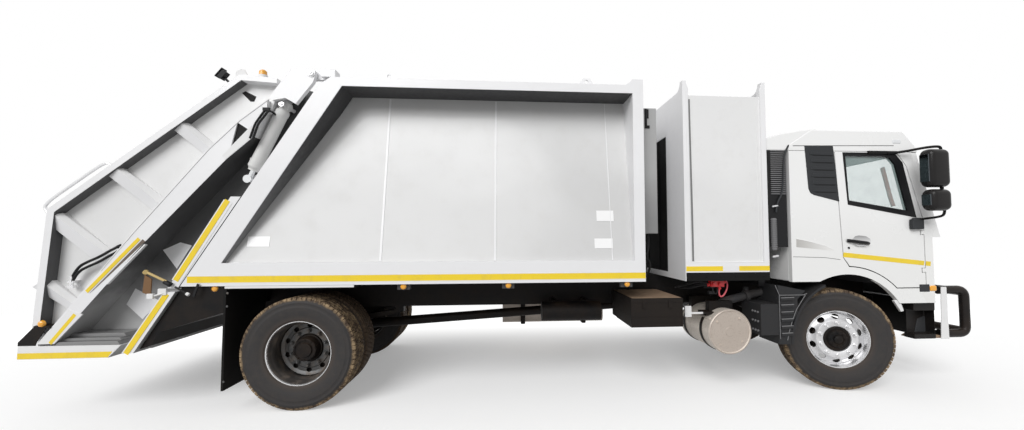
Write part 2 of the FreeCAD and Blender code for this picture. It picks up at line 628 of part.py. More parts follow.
def at_kingpin(obj, side):
    """Turn a piece drawn about its kingpin by the parked steering angle."""
    obj.Placement = Placement(Vector(size_of(FRONT_AXLE), side * size_of("kingpin_y"), 0),
                              Rotation(Vector(0, 0, 1), -size_of("steer_angle"))).multiply(obj.Placement)


def make_steering():
    """Knuckles on their kingpins and the tie rod between their arms."""
    for side_name, side in (("right", -1), ("left", 1)):
        yoke_top = doc.addObject("Part::Cylinder", f"yoke_top_{side_name}")
        yoke_low = doc.addObject("Part::Cylinder", f"yoke_low_{side_name}")
        pin = doc.addObject("Part::Cylinder", f"kingpin_{side_name}")
        for obj, radius, height, z in ((yoke_top, "45", "40", "tyre_radius + 60"),
                                       (yoke_low, "45", "40", "tyre_radius - 100"),
                                       (pin, "kingpin_radius", "200", "tyre_radius - 100")):
            bind(obj, "Radius", radius)
            bind(obj, "Height", height)
            obj.Placement = Placement(Vector(0, 0, size_of(z)), Rotation())
        plate_y = sorted((side * 62, side * 80))
        web = doc.addObject("Part::Box", f"knuckle_web_{side_name}")
        web.Length, web.Width, web.Height = 90, plate_y[1] - plate_y[0], 200
        web.Placement = Placement(Vector(-45, plate_y[0], size_of("tyre_radius") - 100), Rotation())
        lugs = []
        for z in ("tyre_radius + 60", "tyre_radius - 100"):
            lug = doc.addObject("Part::Box", f"knuckle_lug_{side_name}_{len(lugs)}")
            lug.Length, lug.Width, lug.Height = 80, 70, 40
            lug.Placement = Placement(Vector(-40, 0 if side > 0 else -70, size_of(z)), Rotation())
            lugs.append(lug)
        spindle = doc.addObject("Part::Cylinder", f"spindle_{side_name}")
        bind(spindle, "Radius", "spindle_radius")
        reach = size_of("front_wheel_y + front_disc_offset + 60 - kingpin_y") - 70
        bind(spindle, "Height", "front_wheel_y + front_disc_offset + 60 - kingpin_y - 70")
        start = 70 if side > 0 else -70 - reach
        spindle.Placement = Placement(Vector(0, start, size_of("tyre_radius")), TURN_TO["Y"])
        arm = doc.addObject("Part::Box", f"steering_arm_{side_name}")
        bind(arm, "Length", "steering_arm + 25")
        arm.Width, arm.Height = 50, 30
        arm.Placement = Placement(Vector(-size_of("steering_arm + 25"), -25, size_of("tyre_radius") - 130),
                                  Rotation())
        arm_root = doc.addObject("Part::Cylinder", f"steering_arm_root_{side_name}")
        bind(arm_root, "Radius", "45")
        bind(arm_root, "Height", "30")
        arm_root.Placement = Placement(Vector(0, 0, size_of("tyre_radius") - 130), Rotation())
        for obj in (yoke_top, yoke_low, pin, web, spindle, arm, arm_root, *lugs):
            at_kingpin(obj, side)
        node(f"knuckle_{side_name}", joined(f"knuckle_fuse_{side_name}", yoke_top, yoke_low, pin, web,
                                            spindle,
                                            arm, arm_root, *lugs))
    # the tie rod lies parallel to the axle, behind it, under both arms
    angle = math.radians(size_of("steer_angle"))
    ball_x = -size_of("steering_arm") * math.cos(angle)
    ball_y = size_of("steering_arm") * math.sin(angle)
    rod_z = size_of("tyre_radius") - 160
    front_axle_x = size_of(FRONT_AXLE)
    tube = doc.addObject("Part::Cylinder", "tie_rod_tube")
    bind(tube, "Radius", "18")
    bind(tube, "Height", "2 * kingpin_y")
    tube.Placement = Placement(Vector(front_axle_x + ball_x, -size_of("kingpin_y") + ball_y, rod_z),
                               TURN_TO["Y"])
    ends = []
    for side in (-1, 1):
        end = doc.addObject("Part::Cylinder", f"tie_rod_end_{side}")
        bind(end, "Radius", "24")
        bind(end, "Height", "30 - seat_gap")
        end.Placement = Placement(Vector(front_axle_x + ball_x, side * size_of("kingpin_y") + ball_y, rod_z),
                                  Rotation())
        ends.append(end)
    node("tie_rod", joined("tie_rod_fuse", tube, *ends))


# ---------------------------------------------------------------------------------------------
# Compactor body
# ---------------------------------------------------------------------------------------------
def seal_x(z, behind="0"):
    """X of the seal plane at a height, less a distance across the plane."""
    return (f"seal_foot_x + (({z}) - seal_foot_z) * tan(seal_angle * 1 deg)"
            f" - ({behind}) / cos(seal_angle * 1 deg)")


def make_body():
    """Floor with its rear ramp, side walls with their frames, roof, and front wall with ram housing."""
    floor_top = "floor_bottom + floor_thickness"
    plate = box("floor_plate", ("-760", "body_front_x"),
                ("-overall_width / 2 + side_rail_depth", "overall_width / 2 - side_rail_depth"),
                ("floor_bottom", floor_top))
    ramp = profile("floor_ramp", "XZ",
                   [(seal_x("600"), "600"), ("-1276", "632"), ("-1206", "755"), ("-665", "915"),
                    ("-665", "floor_bottom"), ("-760", floor_top), (seal_x("665"), "665")],
                    f"-{HALF_WIDTH} + frame_depth", f"{HALF_WIDTH} - frame_depth")
    cheek = profile("ramp_cheek", "XZ",
                    [(seal_x("600"), "600"), ("-1276", "632"), ("-1206", "755"), ("-665", "915"),
                     ("-665", "floor_bottom"), (seal_x("floor_bottom"), "floor_bottom")],
                     f"-{HALF_WIDTH} + 35", f"-{HALF_WIDTH} + frame_depth")
    notch = box("rail_notch", ("rail_rear_x - 50", "-600"), ("-rail_outer_y - 20", "rail_outer_y + 20"),
                ("500", "floor_bottom"))
    ramp_notched = cut("floor_ramp_notched", ramp, notch)
    node("body_floor", joined("body_floor_fuse", plate, ramp_notched, cheek,
                              mirrored("ramp_cheek_left", cheek)))

    silhouette = [(seal_x("floor_bottom"), "floor_bottom"), ("body_front_x", "floor_bottom"),
                  ("body_front_x", "roof_top"), (f"{seal_x('roof_top')} + 60", "roof_top"),
                  (seal_x("roof_top - 90"), "roof_top - 90")]
    outer = f"-{HALF_WIDTH}"
    envelope = profile("side_envelope", "XZ", silhouette, outer, "-700")
    rail = box("side_rail", (seal_x("floor_bottom"), "body_front_x"), (outer, f"{outer} + side_rail_depth"),
               ("floor_bottom", "side_rail_top"))
    top_rail = box("top_rail", ("-100", "body_front_x"), (outer, f"{outer} + roof_rail_depth"),
                   ("roof_rail_bottom", "roof_top"))
    post_line = [(seal_x("floor_bottom"), "floor_bottom"),
                 (f"{seal_x('floor_bottom')} + frame_width / cos(seal_angle * 1 deg)", "floor_bottom"),
                 (f"{seal_x('roof_top')} + frame_width / cos(seal_angle * 1 deg)", "roof_top"),
                 (seal_x("roof_top"), "roof_top")]
    rear_post = profile("rear_post", "XZ", post_line, outer, f"{outer} + frame_depth")
    front_post = box("front_post", ("body_front_x - post_width", "body_front_x"),
                     (outer, f"{outer} + roof_rail_depth"), ("floor_bottom", "roof_top"))
    panel = profile("side_panel", "YZ",
                    [(f"{outer} + 50", "side_rail_top - 5"),
                     (f"{outer} + 50 + wall_thickness", "side_rail_top - 5"),
                     (f"{outer} + roof_rail_depth + wall_thickness - 60", "roof_rail_bottom + 5"),
                     (f"{outer} + roof_rail_depth - 60", "roof_rail_bottom + 5")],
                    seal_x("side_rail_top"), "body_front_x")
    floor_seat = box("floor_seat", ("-760", "body_front_x + 10"), (f"{outer} + side_rail_depth", "0"),
                     ("floor_bottom - 10", floor_top))
    members = cut("side_members_cut", joined("side_members", rail, top_rail, rear_post, front_post, panel),
                  floor_seat)
    framed = common("side_framed", members, envelope)
    post_cap = profile("post_cap", "XZ",
                       [("body_front_x - post_width", "roof_top"), ("body_front_x", "roof_top"),
                        ("body_front_x", "post_top"), ("body_front_x - post_width", "post_top")],
                       outer, f"{outer} + 60")
    gusset = profile("post_gusset", "XZ",
                     [("body_front_x - post_width - 70", "roof_top"),
                      ("body_front_x - post_width", "roof_top"),
                      ("body_front_x - post_width", "roof_top + 50")], outer, f"{outer} + 12")
    # hinge block on the rear post: its ear stands inboard of the tailgate's arm
    block = box("hinge_block", ("hinge_x + 90", "300"), (outer, f"{outer} + 120"), ("roof_top", "3218"))
    ear_eye = cylinder("hinge_ear_eye", "Y", "50", "45", "hinge_x", f"{outer} + 55", "hinge_z")
    ear_arm = box("hinge_ear_arm", ("hinge_x", "hinge_x + 110"), (f"{outer} + 55", f"{outer} + 100"),
                  ("hinge_z - 45", "hinge_z + 40"))
    ear_hole = cylinder("hinge_ear_hole", "Y", "hinge_pin_radius + running_gap", "80", "hinge_x",
                        f"{outer} + 40", "hinge_z")
    ear = cut("hinge_ear", joined("hinge_ear_solid", ear_eye, ear_arm), ear_hole)
    # bracket plate for the rod eye of the lift cylinder, just inboard of the eye
    ram_ear = profile("ram_ear", "XZ",
                      [(f"{seal_x('ram_foot_z + 70')} + 10", "ram_foot_z + 70"),
                       ("ram_foot_x - 25", "ram_foot_z + 30"), ("ram_foot_x - 35", "ram_foot_z - 20"),
                       ("ram_foot_x + 10", "ram_foot_z - 45"),
                       (f"{seal_x('ram_foot_z - 130')} + 10", "ram_foot_z - 130")],
                      "-ram_y + 32", "-ram_y + 57")
    # lifting lug on the roof rail: X of its middle
    lugs = []
    for index, middle in enumerate(("790", "2750")):
        plate_lug = profile(f"lug_plate_{index}", "XZ",
                            [(f"{middle} - 90", "roof_top"), (f"{middle} + 90", "roof_top"),
                             (f"{middle} + 35", "roof_top + 75"), (f"{middle} - 35", "roof_top + 75")],
                            f"{outer} + 60", f"{outer} + 80")
        hole = cylinder(f"lug_hole_{index}", "Y", "lug_hole_radius", "60", middle, f"{outer} + 40",
                        "roof_top + 42")
        lugs.append(cut(f"roof_lug_{index}", plate_lug, hole))
    both_sides("body_sides", joined("body_side_fuse", framed, post_cap, gusset, block, ear, ram_ear, *lugs))

    roof_edge = f"{HALF_WIDTH} - roof_rail_depth"
    roof = box("roof_plate", (f"{seal_x('roof_top')} + 60", "body_front_x"), (f"-({roof_edge})", roof_edge),
               ("roof_rail_bottom", "roof_top"))
    node("body_roof", roof)

    wall = box("front_plate", ("body_front_x - wall_thickness", "body_front_x"),
               (f"-({roof_edge})", roof_edge), (floor_top, "roof_rail_bottom"))
    housing = box("ram_housing", ("body_front_x", "body_front_x + housing_depth"),
                  ("-housing_half_width", "housing_half_width"), ("1645", "2960"))
    housing_hollow = box("ram_housing_hollow", ("body_front_x", "body_front_x + housing_depth - 30"),
                         ("-housing_half_width + 30", "housing_half_width - 30"), ("1675", "2930"))
    node("body_front_wall", joined("front_wall_fuse", wall,
                                   cut("ram_housing_shell", housing, housing_hollow)))


def make_bin():
    """Open-topped equipment bin: floor, side panels between corner posts, and the two end walls."""
    rear, front = "bin_rear_x", "bin_rear_x + bin_length"
    outer = f"-{HALF_WIDTH}"
    floor = box("bin_floor_plate", (rear, front), (outer, HALF_WIDTH), ("floor_bottom", "floor_bottom + 60"))
    side_pieces = []
    rail = box("bin_rail", (rear, front), (outer, f"{outer} + bin_wall"),
               ("floor_bottom", "side_rail_top - 20"))
    panel = box("bin_panel", (rear, front), (f"{outer} + 15", f"{outer} + bin_wall"),
                ("floor_bottom", "bin_side_top"))
    side_pieces += [rail, panel]
    # corner posts, each with a sloping horn on its inner side: name, tall edge, low edge
    for name, tall, low in (("rear", rear, f"{rear} + 60"), ("front", front, f"{front} - 60")):
        outline = [(tall, "floor_bottom"), (low, "floor_bottom"), (low, "bin_end_top - 80"),
                   (f"({tall} + {low}) / 2", "bin_end_top"), (tall, "bin_end_top")]
        side_pieces.append(profile(f"bin_post_{name}", "XZ", outline, outer, f"{outer} + 60"))
    side = joined("bin_side", *side_pieces)
    rear_wall = cut("bin_rear_wall",
                    box("bin_rear_plate", (rear, f"{rear} + bin_wall"), (outer, HALF_WIDTH),
                        ("floor_bottom", "bin_end_top")),
                    box("bin_rear_door", (f"{rear} - 10", f"{rear} + bin_wall + 10"),
                        ("-bin_door_half_width", "bin_door_half_width"),
                        ("floor_bottom + 60", "bin_door_top")))
    front_wall = box("bin_front_plate", (f"{front} - bin_wall", front), (outer, HALF_WIDTH),
                     ("floor_bottom", "bin_end_top"))
    node("equipment_bin", joined("bin_fuse", floor, side, mirrored("bin_side_left", side), rear_wall,
                                 front_wall))


# ---------------------------------------------------------------------------------------------
# Cab; X is measured from the front axle
# ---------------------------------------------------------------------------------------------
WINDSCREEN_TOP_X = "cab_front - 260"


def column_point(reach, across="0"):
    """A point up the leaning steering column from its foot, moved across the cab."""
    return (f"cab_front - 330 - ({reach}) * sin(column_angle * 1 deg)", f"-seat_y + {across}",
            f"1500 + ({reach}) * cos(column_angle * 1 deg)")


def door_shape(name, gap, near, far):
    """A cab door, or with no gap its doorway, drawn inward by a gap and arched over the front wheel."""
    outline = [(f"door_rear + {gap}", "cab_eaves_z - 70"), (f"door_rear + 60 + {gap}", "1388"),
               (f"door_rear + 125 + {gap}", f"1290 + {gap}"), (f"door_rear + 125 + {gap}", f"1060 + {gap}"),
               (f"door_front - {gap}", f"1060 + {gap}"), (f"door_front - {gap}", "1780"),
               (f"door_front - 170 - {gap}", "2360"), (f"door_front - 270 - {gap}", "cab_eaves_z - 70")]
    slab = profile(f"{name}_slab", "XZ", outline, near, far, FRONT_AXLE)
    arch = cylinder(f"{name}_arch", "Y", f"door_sill_radius + {gap}", f"({far}) - ({near}) + 20", "0",
                    f"{near} - 10", "tyre_radius", FRONT_AXLE)
    return cut(name, slab, arch)


# heights of the middles of a door's two hinges
DOOR_HINGE_HEIGHTS = ("1250", "1650")


def window_outline():
    return [("5", "2490"), ("530", "2490"), ("655", "2330"), ("765", "1830"), ("35", "1962")]


def make_cab():
    """Floor, back wall, roof, sides, front panel and windscreen of the tilting cab."""
    wide = "cab_half_width"
    inner = "cab_half_width - cab_wall"
    floor = profile("cab_floor_plate", "XZ",
                    [("cab_back + cab_wall", "cab_floor_z"), ("500", "cab_floor_z"), ("560", "1080"),
                     ("cab_front - 130", "1080"), ("cab_front - 130", "1130"), ("600", "1130"),
                     ("540", "cab_floor_z + 50"), ("cab_back + cab_wall", "cab_floor_z + 50")],
                    f"-({inner}) + door_gap", f"{inner} - door_gap", FRONT_AXLE)
    mounts = [box(f"cab_mount_{side}", ("cab_back + cab_wall", "cab_back + 170"),
                  (f"{side} * (rail_outer_y - 40) - 35", f"{side} * (rail_outer_y - 40) + 35"),
                  ("rail_top", "cab_floor_z"), FRONT_AXLE) for side in (-1, 1)]
    node("cab_floor", joined("cab_floor_fuse", floor, *mounts))

    back = box("cab_back_plate", ("cab_back", "cab_back + cab_wall"), (f"-({inner})", inner),
               ("cab_floor_z - 60", "cab_eaves_z - 60"), FRONT_AXLE)
    node("cab_back_wall", back)

    roof_outline = [("cab_back", "cab_eaves_z - 60"), (WINDSCREEN_TOP_X, "cab_eaves_z - 60"),
                    (WINDSCREEN_TOP_X, "cab_eaves_z - 20"), ("cab_front - 420", "cab_roof_z"),
                    ("-350", "cab_roof_z"), ("cab_back", "cab_eaves_z")]
    roof_solid = profile("cab_roof_solid", "XZ", roof_outline, f"-{wide}", wide, FRONT_AXLE)
    roof_hollow = profile("cab_roof_hollow", "XZ",
                          [("cab_back + cab_wall", "cab_eaves_z - 70"),
                           (f"{WINDSCREEN_TOP_X} - 60", "cab_eaves_z - 70"),
                           ("cab_front - 450", "cab_roof_z - 50"), ("-340", "cab_roof_z - 50"),
                           ("cab_back + cab_wall", "cab_eaves_z - 40")], f"-({wide}) + 160",
                           f"{wide} - 160", FRONT_AXLE)
    node("cab_roof", cut("cab_roof_cut", roof_solid, roof_hollow))

    side_outline = [("cab_back", "cab_floor_z - 60"), ("0", "cab_floor_z - 60"), ("0", "cab_chin_z"),
                    ("cab_front - 130", "cab_chin_z"), ("cab_front - 130", "cab_waist_z"),
                    (f"{WINDSCREEN_TOP_X} - 70", "cab_eaves_z - 60"), ("cab_back", "cab_eaves_z - 60")]
    side = profile("cab_side_plate", "XZ", side_outline, f"-{wide}", f"-({inner})", FRONT_AXLE)
    arch = cylinder("cab_side_arch", "Y", "cab_arch_radius", "cab_wall + 20", "0", f"-{wide} - 10",
                    "tyre_radius",
                    FRONT_AXLE)
    doorway = door_shape("cab_doorway", "0", f"-{wide} - 10", f"-({inner}) + 10")
    pillar = profile("windscreen_pillar", "XZ",
                     [("cab_front - 130", "cab_waist_z"), ("cab_front - 25", "cab_waist_z"),
                      (f"{WINDSCREEN_TOP_X} - 5", "cab_eaves_z - 60"),
                      (f"{WINDSCREEN_TOP_X} - 110", "cab_eaves_z - 60")],
                     f"-{wide} + 10", f"-{wide} + 140", FRONT_AXLE)
    hinge_x, hinge_y = "door_front - door_hinge_back", f"-({wide}) + door_hinge_in"
    ears = []
    for index, z in enumerate(DOOR_HINGE_HEIGHTS):
        ears += [box(f"door_hinge_ear_{index}", (hinge_x, "door_front"),
                     (f"{hinge_y} - 4", f"{hinge_y} + door_eye_radius"), (f"{z} - 20", f"{z} + 20"),
                     FRONT_AXLE),
                 cylinder(f"door_hinge_eye_{index}", "Z", "door_eye_radius", "40", hinge_x, hinge_y,
                          f"{z} - 20", FRONT_AXLE),
                 cylinder(f"door_hinge_pin_{index}", "Z", "door_pin_radius", "90", hinge_x, hinge_y,
                          f"{z} - 45", FRONT_AXLE)]
    both_sides("cab_sides", joined("cab_side_fuse", cut("cab_side_cut", side, doorway, arch), pillar, *ears))

    # front panel in plan: flat nose with chamfered corners that meet the cab's sides
    plan = [("cab_front - 130", f"-{wide}"), ("cab_front", f"-{wide} + 170"), ("cab_front", f"{wide} - 170"),
            ("cab_front - 130", wide), ("cab_front - 130", inner), ("cab_front - 60", f"{wide} - 195"),
            ("cab_front - 60", f"-{wide} + 195"), ("cab_front - 130", f"-({inner})")]
    nose = profile("cab_nose", "XY", plan, "cab_chin_z", "cab_waist_z", FRONT_AXLE)
    node("cab_front_panel", nose)

    glass = profile("windscreen_plate", "XZ",
                    [("cab_front - 60", "cab_waist_z"), ("cab_front - 30", "cab_waist_z"),
                     (f"{WINDSCREEN_TOP_X} - 30", "cab_eaves_z - 60"),
                     (f"{WINDSCREEN_TOP_X} - 60", "cab_eaves_z - 60")],
                    f"-({wide}) + 140", f"{wide} - 140", FRONT_AXLE)
    node("windscreen", glass)

    dash = profile("dash_body", "XZ",
                   [("cab_front - 130", "1350"), ("cab_front - 130", "cab_waist_z"),
                    ("cab_front - 300", "1640"),
                    ("cab_front - 420", "1560"), ("cab_front - 400", "1400"), ("cab_front - 250", "1350")],
                   f"-({inner}) + door_gap", f"{inner} - door_gap", FRONT_AXLE)
    column = strut("steering_column", "35", column_point("0"), column_point("column_length"), FRONT_AXLE)
    node("dashboard", joined("dashboard_fuse", dash, column))

    ring = doc.addObject("Part::Torus", "steering_ring")
    bind(ring, "Radius1", "steering_wheel_radius")
    ring.Radius2 = 14
    lean = Rotation(Vector(0, 1, 0), -size_of("column_angle"))
    ring.Placement = Placement(Vector(), lean)
    move_to(ring, *column_point("column_length + 32"), FRONT_AXLE)
    hub = strut("steering_boss", "60", column_point("column_length + seat_gap"),
                column_point("column_length + 40"),
                FRONT_AXLE)
    spokes = [strut(f"steering_spoke_{side}", "11",
                    column_point("column_length + 25", "0"),
                    column_point("column_length + 32", f"{side} * steering_wheel_radius"), FRONT_AXLE)
              for side in (-1, 1)]
    node("steering_wheel", joined("steering_wheel_fuse", ring, hub, *spokes))

    seats = []
    for side in (-1, 1):
        y = f"{side} * seat_y"
        base = box(f"seat_base_{side}", ("-330", "180"), (f"{y} - 240", f"{y} + 240"),
                   ("cab_floor_z + 50", "1500"), FRONT_AXLE)
        cushion = box(f"seat_cushion_{side}", ("-340", "200"), (f"{y} - 260", f"{y} + 260"), ("1500", "1640"),
                      FRONT_AXLE)
        rest = profile(f"seat_back_{side}", "XZ",
                       [("-340", "1600"), ("-220", "1600"), ("-330", "2230"), ("-440", "2230")],
                       f"{y} - 240", f"{y} + 240", FRONT_AXLE)
        seats.append(joined(f"seat_{side}", base, cushion, rest))
    node("cab_seats", group("cab_seats_group", *seats))


def make_doors():
    """Cab doors with their window openings, and the mirrors that they carry."""
    wide = "cab_half_width"
    inner = "cab_half_width - cab_wall"
    panel = door_shape("door_plate", "door_gap", f"-{wide}", f"-({inner}) - door_gap")
    window = profile("door_window", "XZ", window_outline(), f"-{wide} - 10", f"-({inner}) + 10", FRONT_AXLE)
    hinge_x, hinge_y = "door_front - door_hinge_back", f"-{wide} + door_hinge_in"
    notches = []
    for index, z in enumerate(DOOR_HINGE_HEIGHTS):
        notches += [box(f"door_notch_{index}", (f"{hinge_x} - 20", "door_front"),
                        (f"-{wide} - 5", f"-({inner})"),
                        (f"{z} - 25", f"{z} + 25"), FRONT_AXLE),
                    cylinder(f"door_bore_{index}", "Z", "door_pin_radius + running_gap", "100", hinge_x,
                             hinge_y,
                             f"{z} - 50", FRONT_AXLE)]
    right = cut("door_right_cut", panel, window, *notches)
    node("door_right", right)
    node("door_left", mirrored("door_left_copy", right))

    low = f"-mirror_y"
    main_head = box("mirror_main", ("690", "930"), (f"{low} - 40", f"{low} + 40"), ("2105", "2500"),
                    FRONT_AXLE)
    wide_head = box("mirror_wide", ("700", "930"), (f"{low} - 40", f"{low} + 40"), ("1865", "2085"),
                    FRONT_AXLE)
    spine = cylinder("mirror_spine", "Z", "16", "2540 - 1830", "810", f"{low} + 55", "1830", FRONT_AXLE)
    upper = strut("mirror_upper_arm", "16", ("560", f"-{wide} - 15", "2470"), ("810", f"{low} + 55", "2530"),
                  FRONT_AXLE)
    lower = strut("mirror_lower_arm", "16", ("790", f"-{wide} - 15", "1830"), ("810", f"{low} + 55", "1840"),
                  FRONT_AXLE)
    foot_high = box("mirror_foot_high", ("500", "600"), (f"-{wide} - 35", f"-{wide}"), ("2455", "2485"),
                    FRONT_AXLE)
    foot_low = box("mirror_foot_low", ("750", "830"), (f"-{wide} - 35", f"-{wide}"), ("1790", "1870"),
                   FRONT_AXLE)
    mirrors = joined("mirrors_right_fuse", main_head, wide_head, spine, upper, lower, foot_high, foot_low)
    node("mirrors_right", mirrors)
    node("mirrors_left", mirrored("mirrors_left_copy", mirrors))


# ---------------------------------------------------------------------------------------------
# Tailgate
# ---------------------------------------------------------------------------------------------
def slide_point(along, across="0"):
    """A point in side view at a distance down the packer's slide axis and across it, forward positive."""
    sine, cosine = "sin(slide_angle * 1 deg)", "cos(slide_angle * 1 deg)"
    return (f"slide_top_x - ({along}) * {sine} + ({across}) * {cosine}",
            f"slide_top_z - ({along}) * {cosine} - ({across}) * {sine}")


def make_tailgate():
    """Tailgate sides with guide beams, ribs, flanges and arms; the cover; and the hopper floor with its sill."""
    outer = f"-{HALF_WIDTH}"
    wall_out = "-tailgate_wall_y"
    wall_in = "-tailgate_wall_y + tailgate_wall"
    top_front = (seal_x("roof_top - 90", "seal_gap"), "roof_top - 90")
    foot = (seal_x("575", "seal_gap"), "575")
    skin = [top_front, ("-120", "3117"), ("-568", "3144"), ("-2167", "1868"), ("-2240", "800"),
            ("-2250", "651"),
            ("-2250", "541"), ("-1605", "541"), foot]
    wall = profile("tailgate_wall_plate", "XZ", skin, wall_out, wall_in)
    # rear panel stands outboard of the wall, between the guide beam and the outer edge
    rear_panel = profile("tailgate_rear_panel", "XZ",
                         [("-270", "2900"), ("-300", "3125"), ("-568", "3144"), ("-2167", "1868"),
                          ("-2240", "800"),
                          ("-2160", "700"), ("-1420", "1620"), ("-660", "2440")], f"{outer} + 100", wall_out)
    # box-section beam that guides the packer, with a three-cornered opening near its top
    beam_solid = profile("guide_beam_solid", "XZ",
                         [("-262", "2950"), ("-560", "2704"), ("-817", "2437"), ("-1451", "1646"),
                          ("-1833", "1144"),
                          ("-2181", "683"), ("-2050", "683"), ("-1832", "958"), ("-1346", "1562"),
                          ("-664", "2334"),
                          ("-425", "2554"), ("-330", "2790")], outer, wall_out)
    beam = cut("guide_beam", beam_solid,
               profile("guide_beam_opening", "XZ", [("-572", "2687"), ("-625", "2453"), ("-478", "2624")],
                       f"{outer} - 10", f"{outer} + 150"))
    edge = profile("tailgate_edge", "XZ",
                   [("-230", "3117"), ("-568", "3144"), ("-2167", "1868"), ("-2240", "800"), ("-2180", "800"),
                    ("-2108", "1840"), ("-550", "3090"), ("-230", "3070")], outer, f"{outer} + 100")
    pieces = [wall, rear_panel, beam, edge]
    # stiffening rib: upper end X, Z; lower end X, Z; half width
    ribs = [("top", -1210, 2605, -960, 2400), ("second", -1730, 2180, -1365, 1880),
            ("third", -2140, 1760, -1760, 1400), ("low", -2215, 1160, -1985, 960)]
    for name, x_far, z_far, x_near, z_near in ribs:
        run = math.hypot(x_near - x_far, z_near - z_far)
        half = 42
        dx, dz = half * (z_near - z_far) / run, half * (x_near - x_far) / run
        pieces.append(profile(f"rib_{name}", "XZ",
                              [(x_far + dx, z_far - dz), (x_near + dx, z_near - dz),
                               (x_near - dx, z_near + dz),
                               (x_far - dx, z_far + dz)], f"{outer} + 45", f"{outer} + 105"))
    flange_width = "75"
    for name, low, high in (("upper", "1150", "1990"), ("lower", "575", "1118")):
        pieces.append(profile(f"front_flange_{name}", "XZ",
                              [(seal_x(low, "seal_gap"), low),
                               (seal_x(low, f"seal_gap + {flange_width}"), low),
                               (seal_x(high, f"seal_gap + {flange_width}"), high),
                               (seal_x(high, "seal_gap"), high)],
                              outer, wall_out))
    ledge = profile("side_ledge", "XZ",
                    [("-2344", "541"), ("-1605", "541"), ("-1500", "651"), ("-2344", "651")], outer, wall_out)
    apron = profile("corner_apron", "XZ",
                    [("-2344", "651"), ("-2180", "651"), ("-2180", "760"), ("-2240", "810"),
                     ("-2344", "690")],
                    outer, wall_out)
    arm = profile("hinge_arm", "XZ",
                  [("-101", "3215"), ("hinge_x - 5", "3222"), ("hinge_x + 34", "3205"),
                   ("hinge_x + 40", "hinge_z - 15"),
                   ("hinge_x + 20", "3090"), ("-60", "2870"), ("-150", "2800"), ("-250", "2800"),
                   ("-342", "2790"),
                   ("-277", "2964")], outer, f"{outer} + 50")
    arm_root = profile("hinge_arm_root", "XZ",
                       [("-130", "3100"), ("-277", "2964"), ("-342", "2790"), ("-312", "2790"),
                        ("-265", "2930"),
                        ("-205", "2980"), ("-130", "3040")], outer, wall_out)
    pin = cylinder("hinge_pin", "Y", "hinge_pin_radius", "110", "hinge_x", f"{outer} - 8", "hinge_z")
    cap = cylinder("hinge_pin_cap", "Y", "40", "8", "hinge_x", f"{outer} - 8", "hinge_z")
    ram_pin = cylinder("ram_top_pin", "Y", "ram_pin_radius", f"{HALF_WIDTH} - tailgate_wall_y", "ram_top_x",
                       outer,
                       "ram_top_z")
    pieces += [ledge, apron, arm, arm_root, pin, cap, ram_pin]
    both_sides("tailgate_sides", joined("tailgate_side_fuse", *pieces))

    half = "tailgate_wall_y - tailgate_wall"
    cover = profile("cover_plate", "XZ",
                    [("-120", "3117"), ("-568", "3144"), ("-2167", "1868"), ("-2160", "1800"),
                     ("-2110", "1800"),
                     ("-550", "3090"), ("-140", "3065")], f"-({half})", half)
    node("tailgate_cover", cover)

    floor = profile("hopper_plate", "XZ",
                    [("-2344", "541"), (seal_x("541", "seal_gap + 60"), "541"),
                     (seal_x("575", "seal_gap"), "575"),
                     (seal_x("640", "seal_gap"), "640"), ("-1800", "640"), ("-2040", "700"), ("-2200", "950"),
                     ("-2240", "950"), ("-2240", "651"), ("-2344", "651")], f"-({half})", half)
    node("hopper_floor", floor)


def make_lift_cylinders():
    """Tailgate lift cylinders: barrel on the arm's pin, rod eye beside the ear on the rear post."""
    run_x, run_z = "ram_foot_x - ram_top_x", "ram_foot_z - ram_top_z"
    reach = f"sqrt(({run_x}) ^ 2 + ({run_z}) ^ 2)"
    for side_name, side in (("right", -1), ("left", 1)):
        y = f"{side} * ram_y"
        def point(along):
            return (f"ram_top_x + ({along}) * ({run_x}) / {reach}", y,
                    f"ram_top_z + ({along}) * ({run_z}) / {reach}")
        eye = cylinder(f"barrel_eye_{side_name}", "Y", "50", "70", "ram_top_x", f"{y} - 35", "ram_top_z")
        tube = strut(f"barrel_tube_{side_name}", "ram_radius", point("30"), point(f"{reach} - 90"))
        bore = strut(f"barrel_bore_{side_name}", "ram_rod_radius + running_gap", point("70"),
                     point(f"{reach} - 60"))
        eye_hole = cylinder(f"barrel_eye_hole_{side_name}", "Y", "ram_pin_radius + running_gap", "140",
                            "ram_top_x",
                            f"{y} - 70", "ram_top_z")
        node(f"lift_barrel_{side_name}", cut(f"lift_barrel_cut_{side_name}",
                                             joined(f"barrel_solid_{side_name}", eye, tube), bore, eye_hole))
        rod = strut(f"rod_bar_{side_name}", "ram_rod_radius", point("75"), point(f"{reach} - 20"))
        head = cylinder(f"rod_eye_{side_name}", "Y", "38", "60", "ram_foot_x", f"{y} - 30", "ram_foot_z")
        node(f"lift_rod_{side_name}", joined(f"lift_rod_fuse_{side_name}", rod, head))


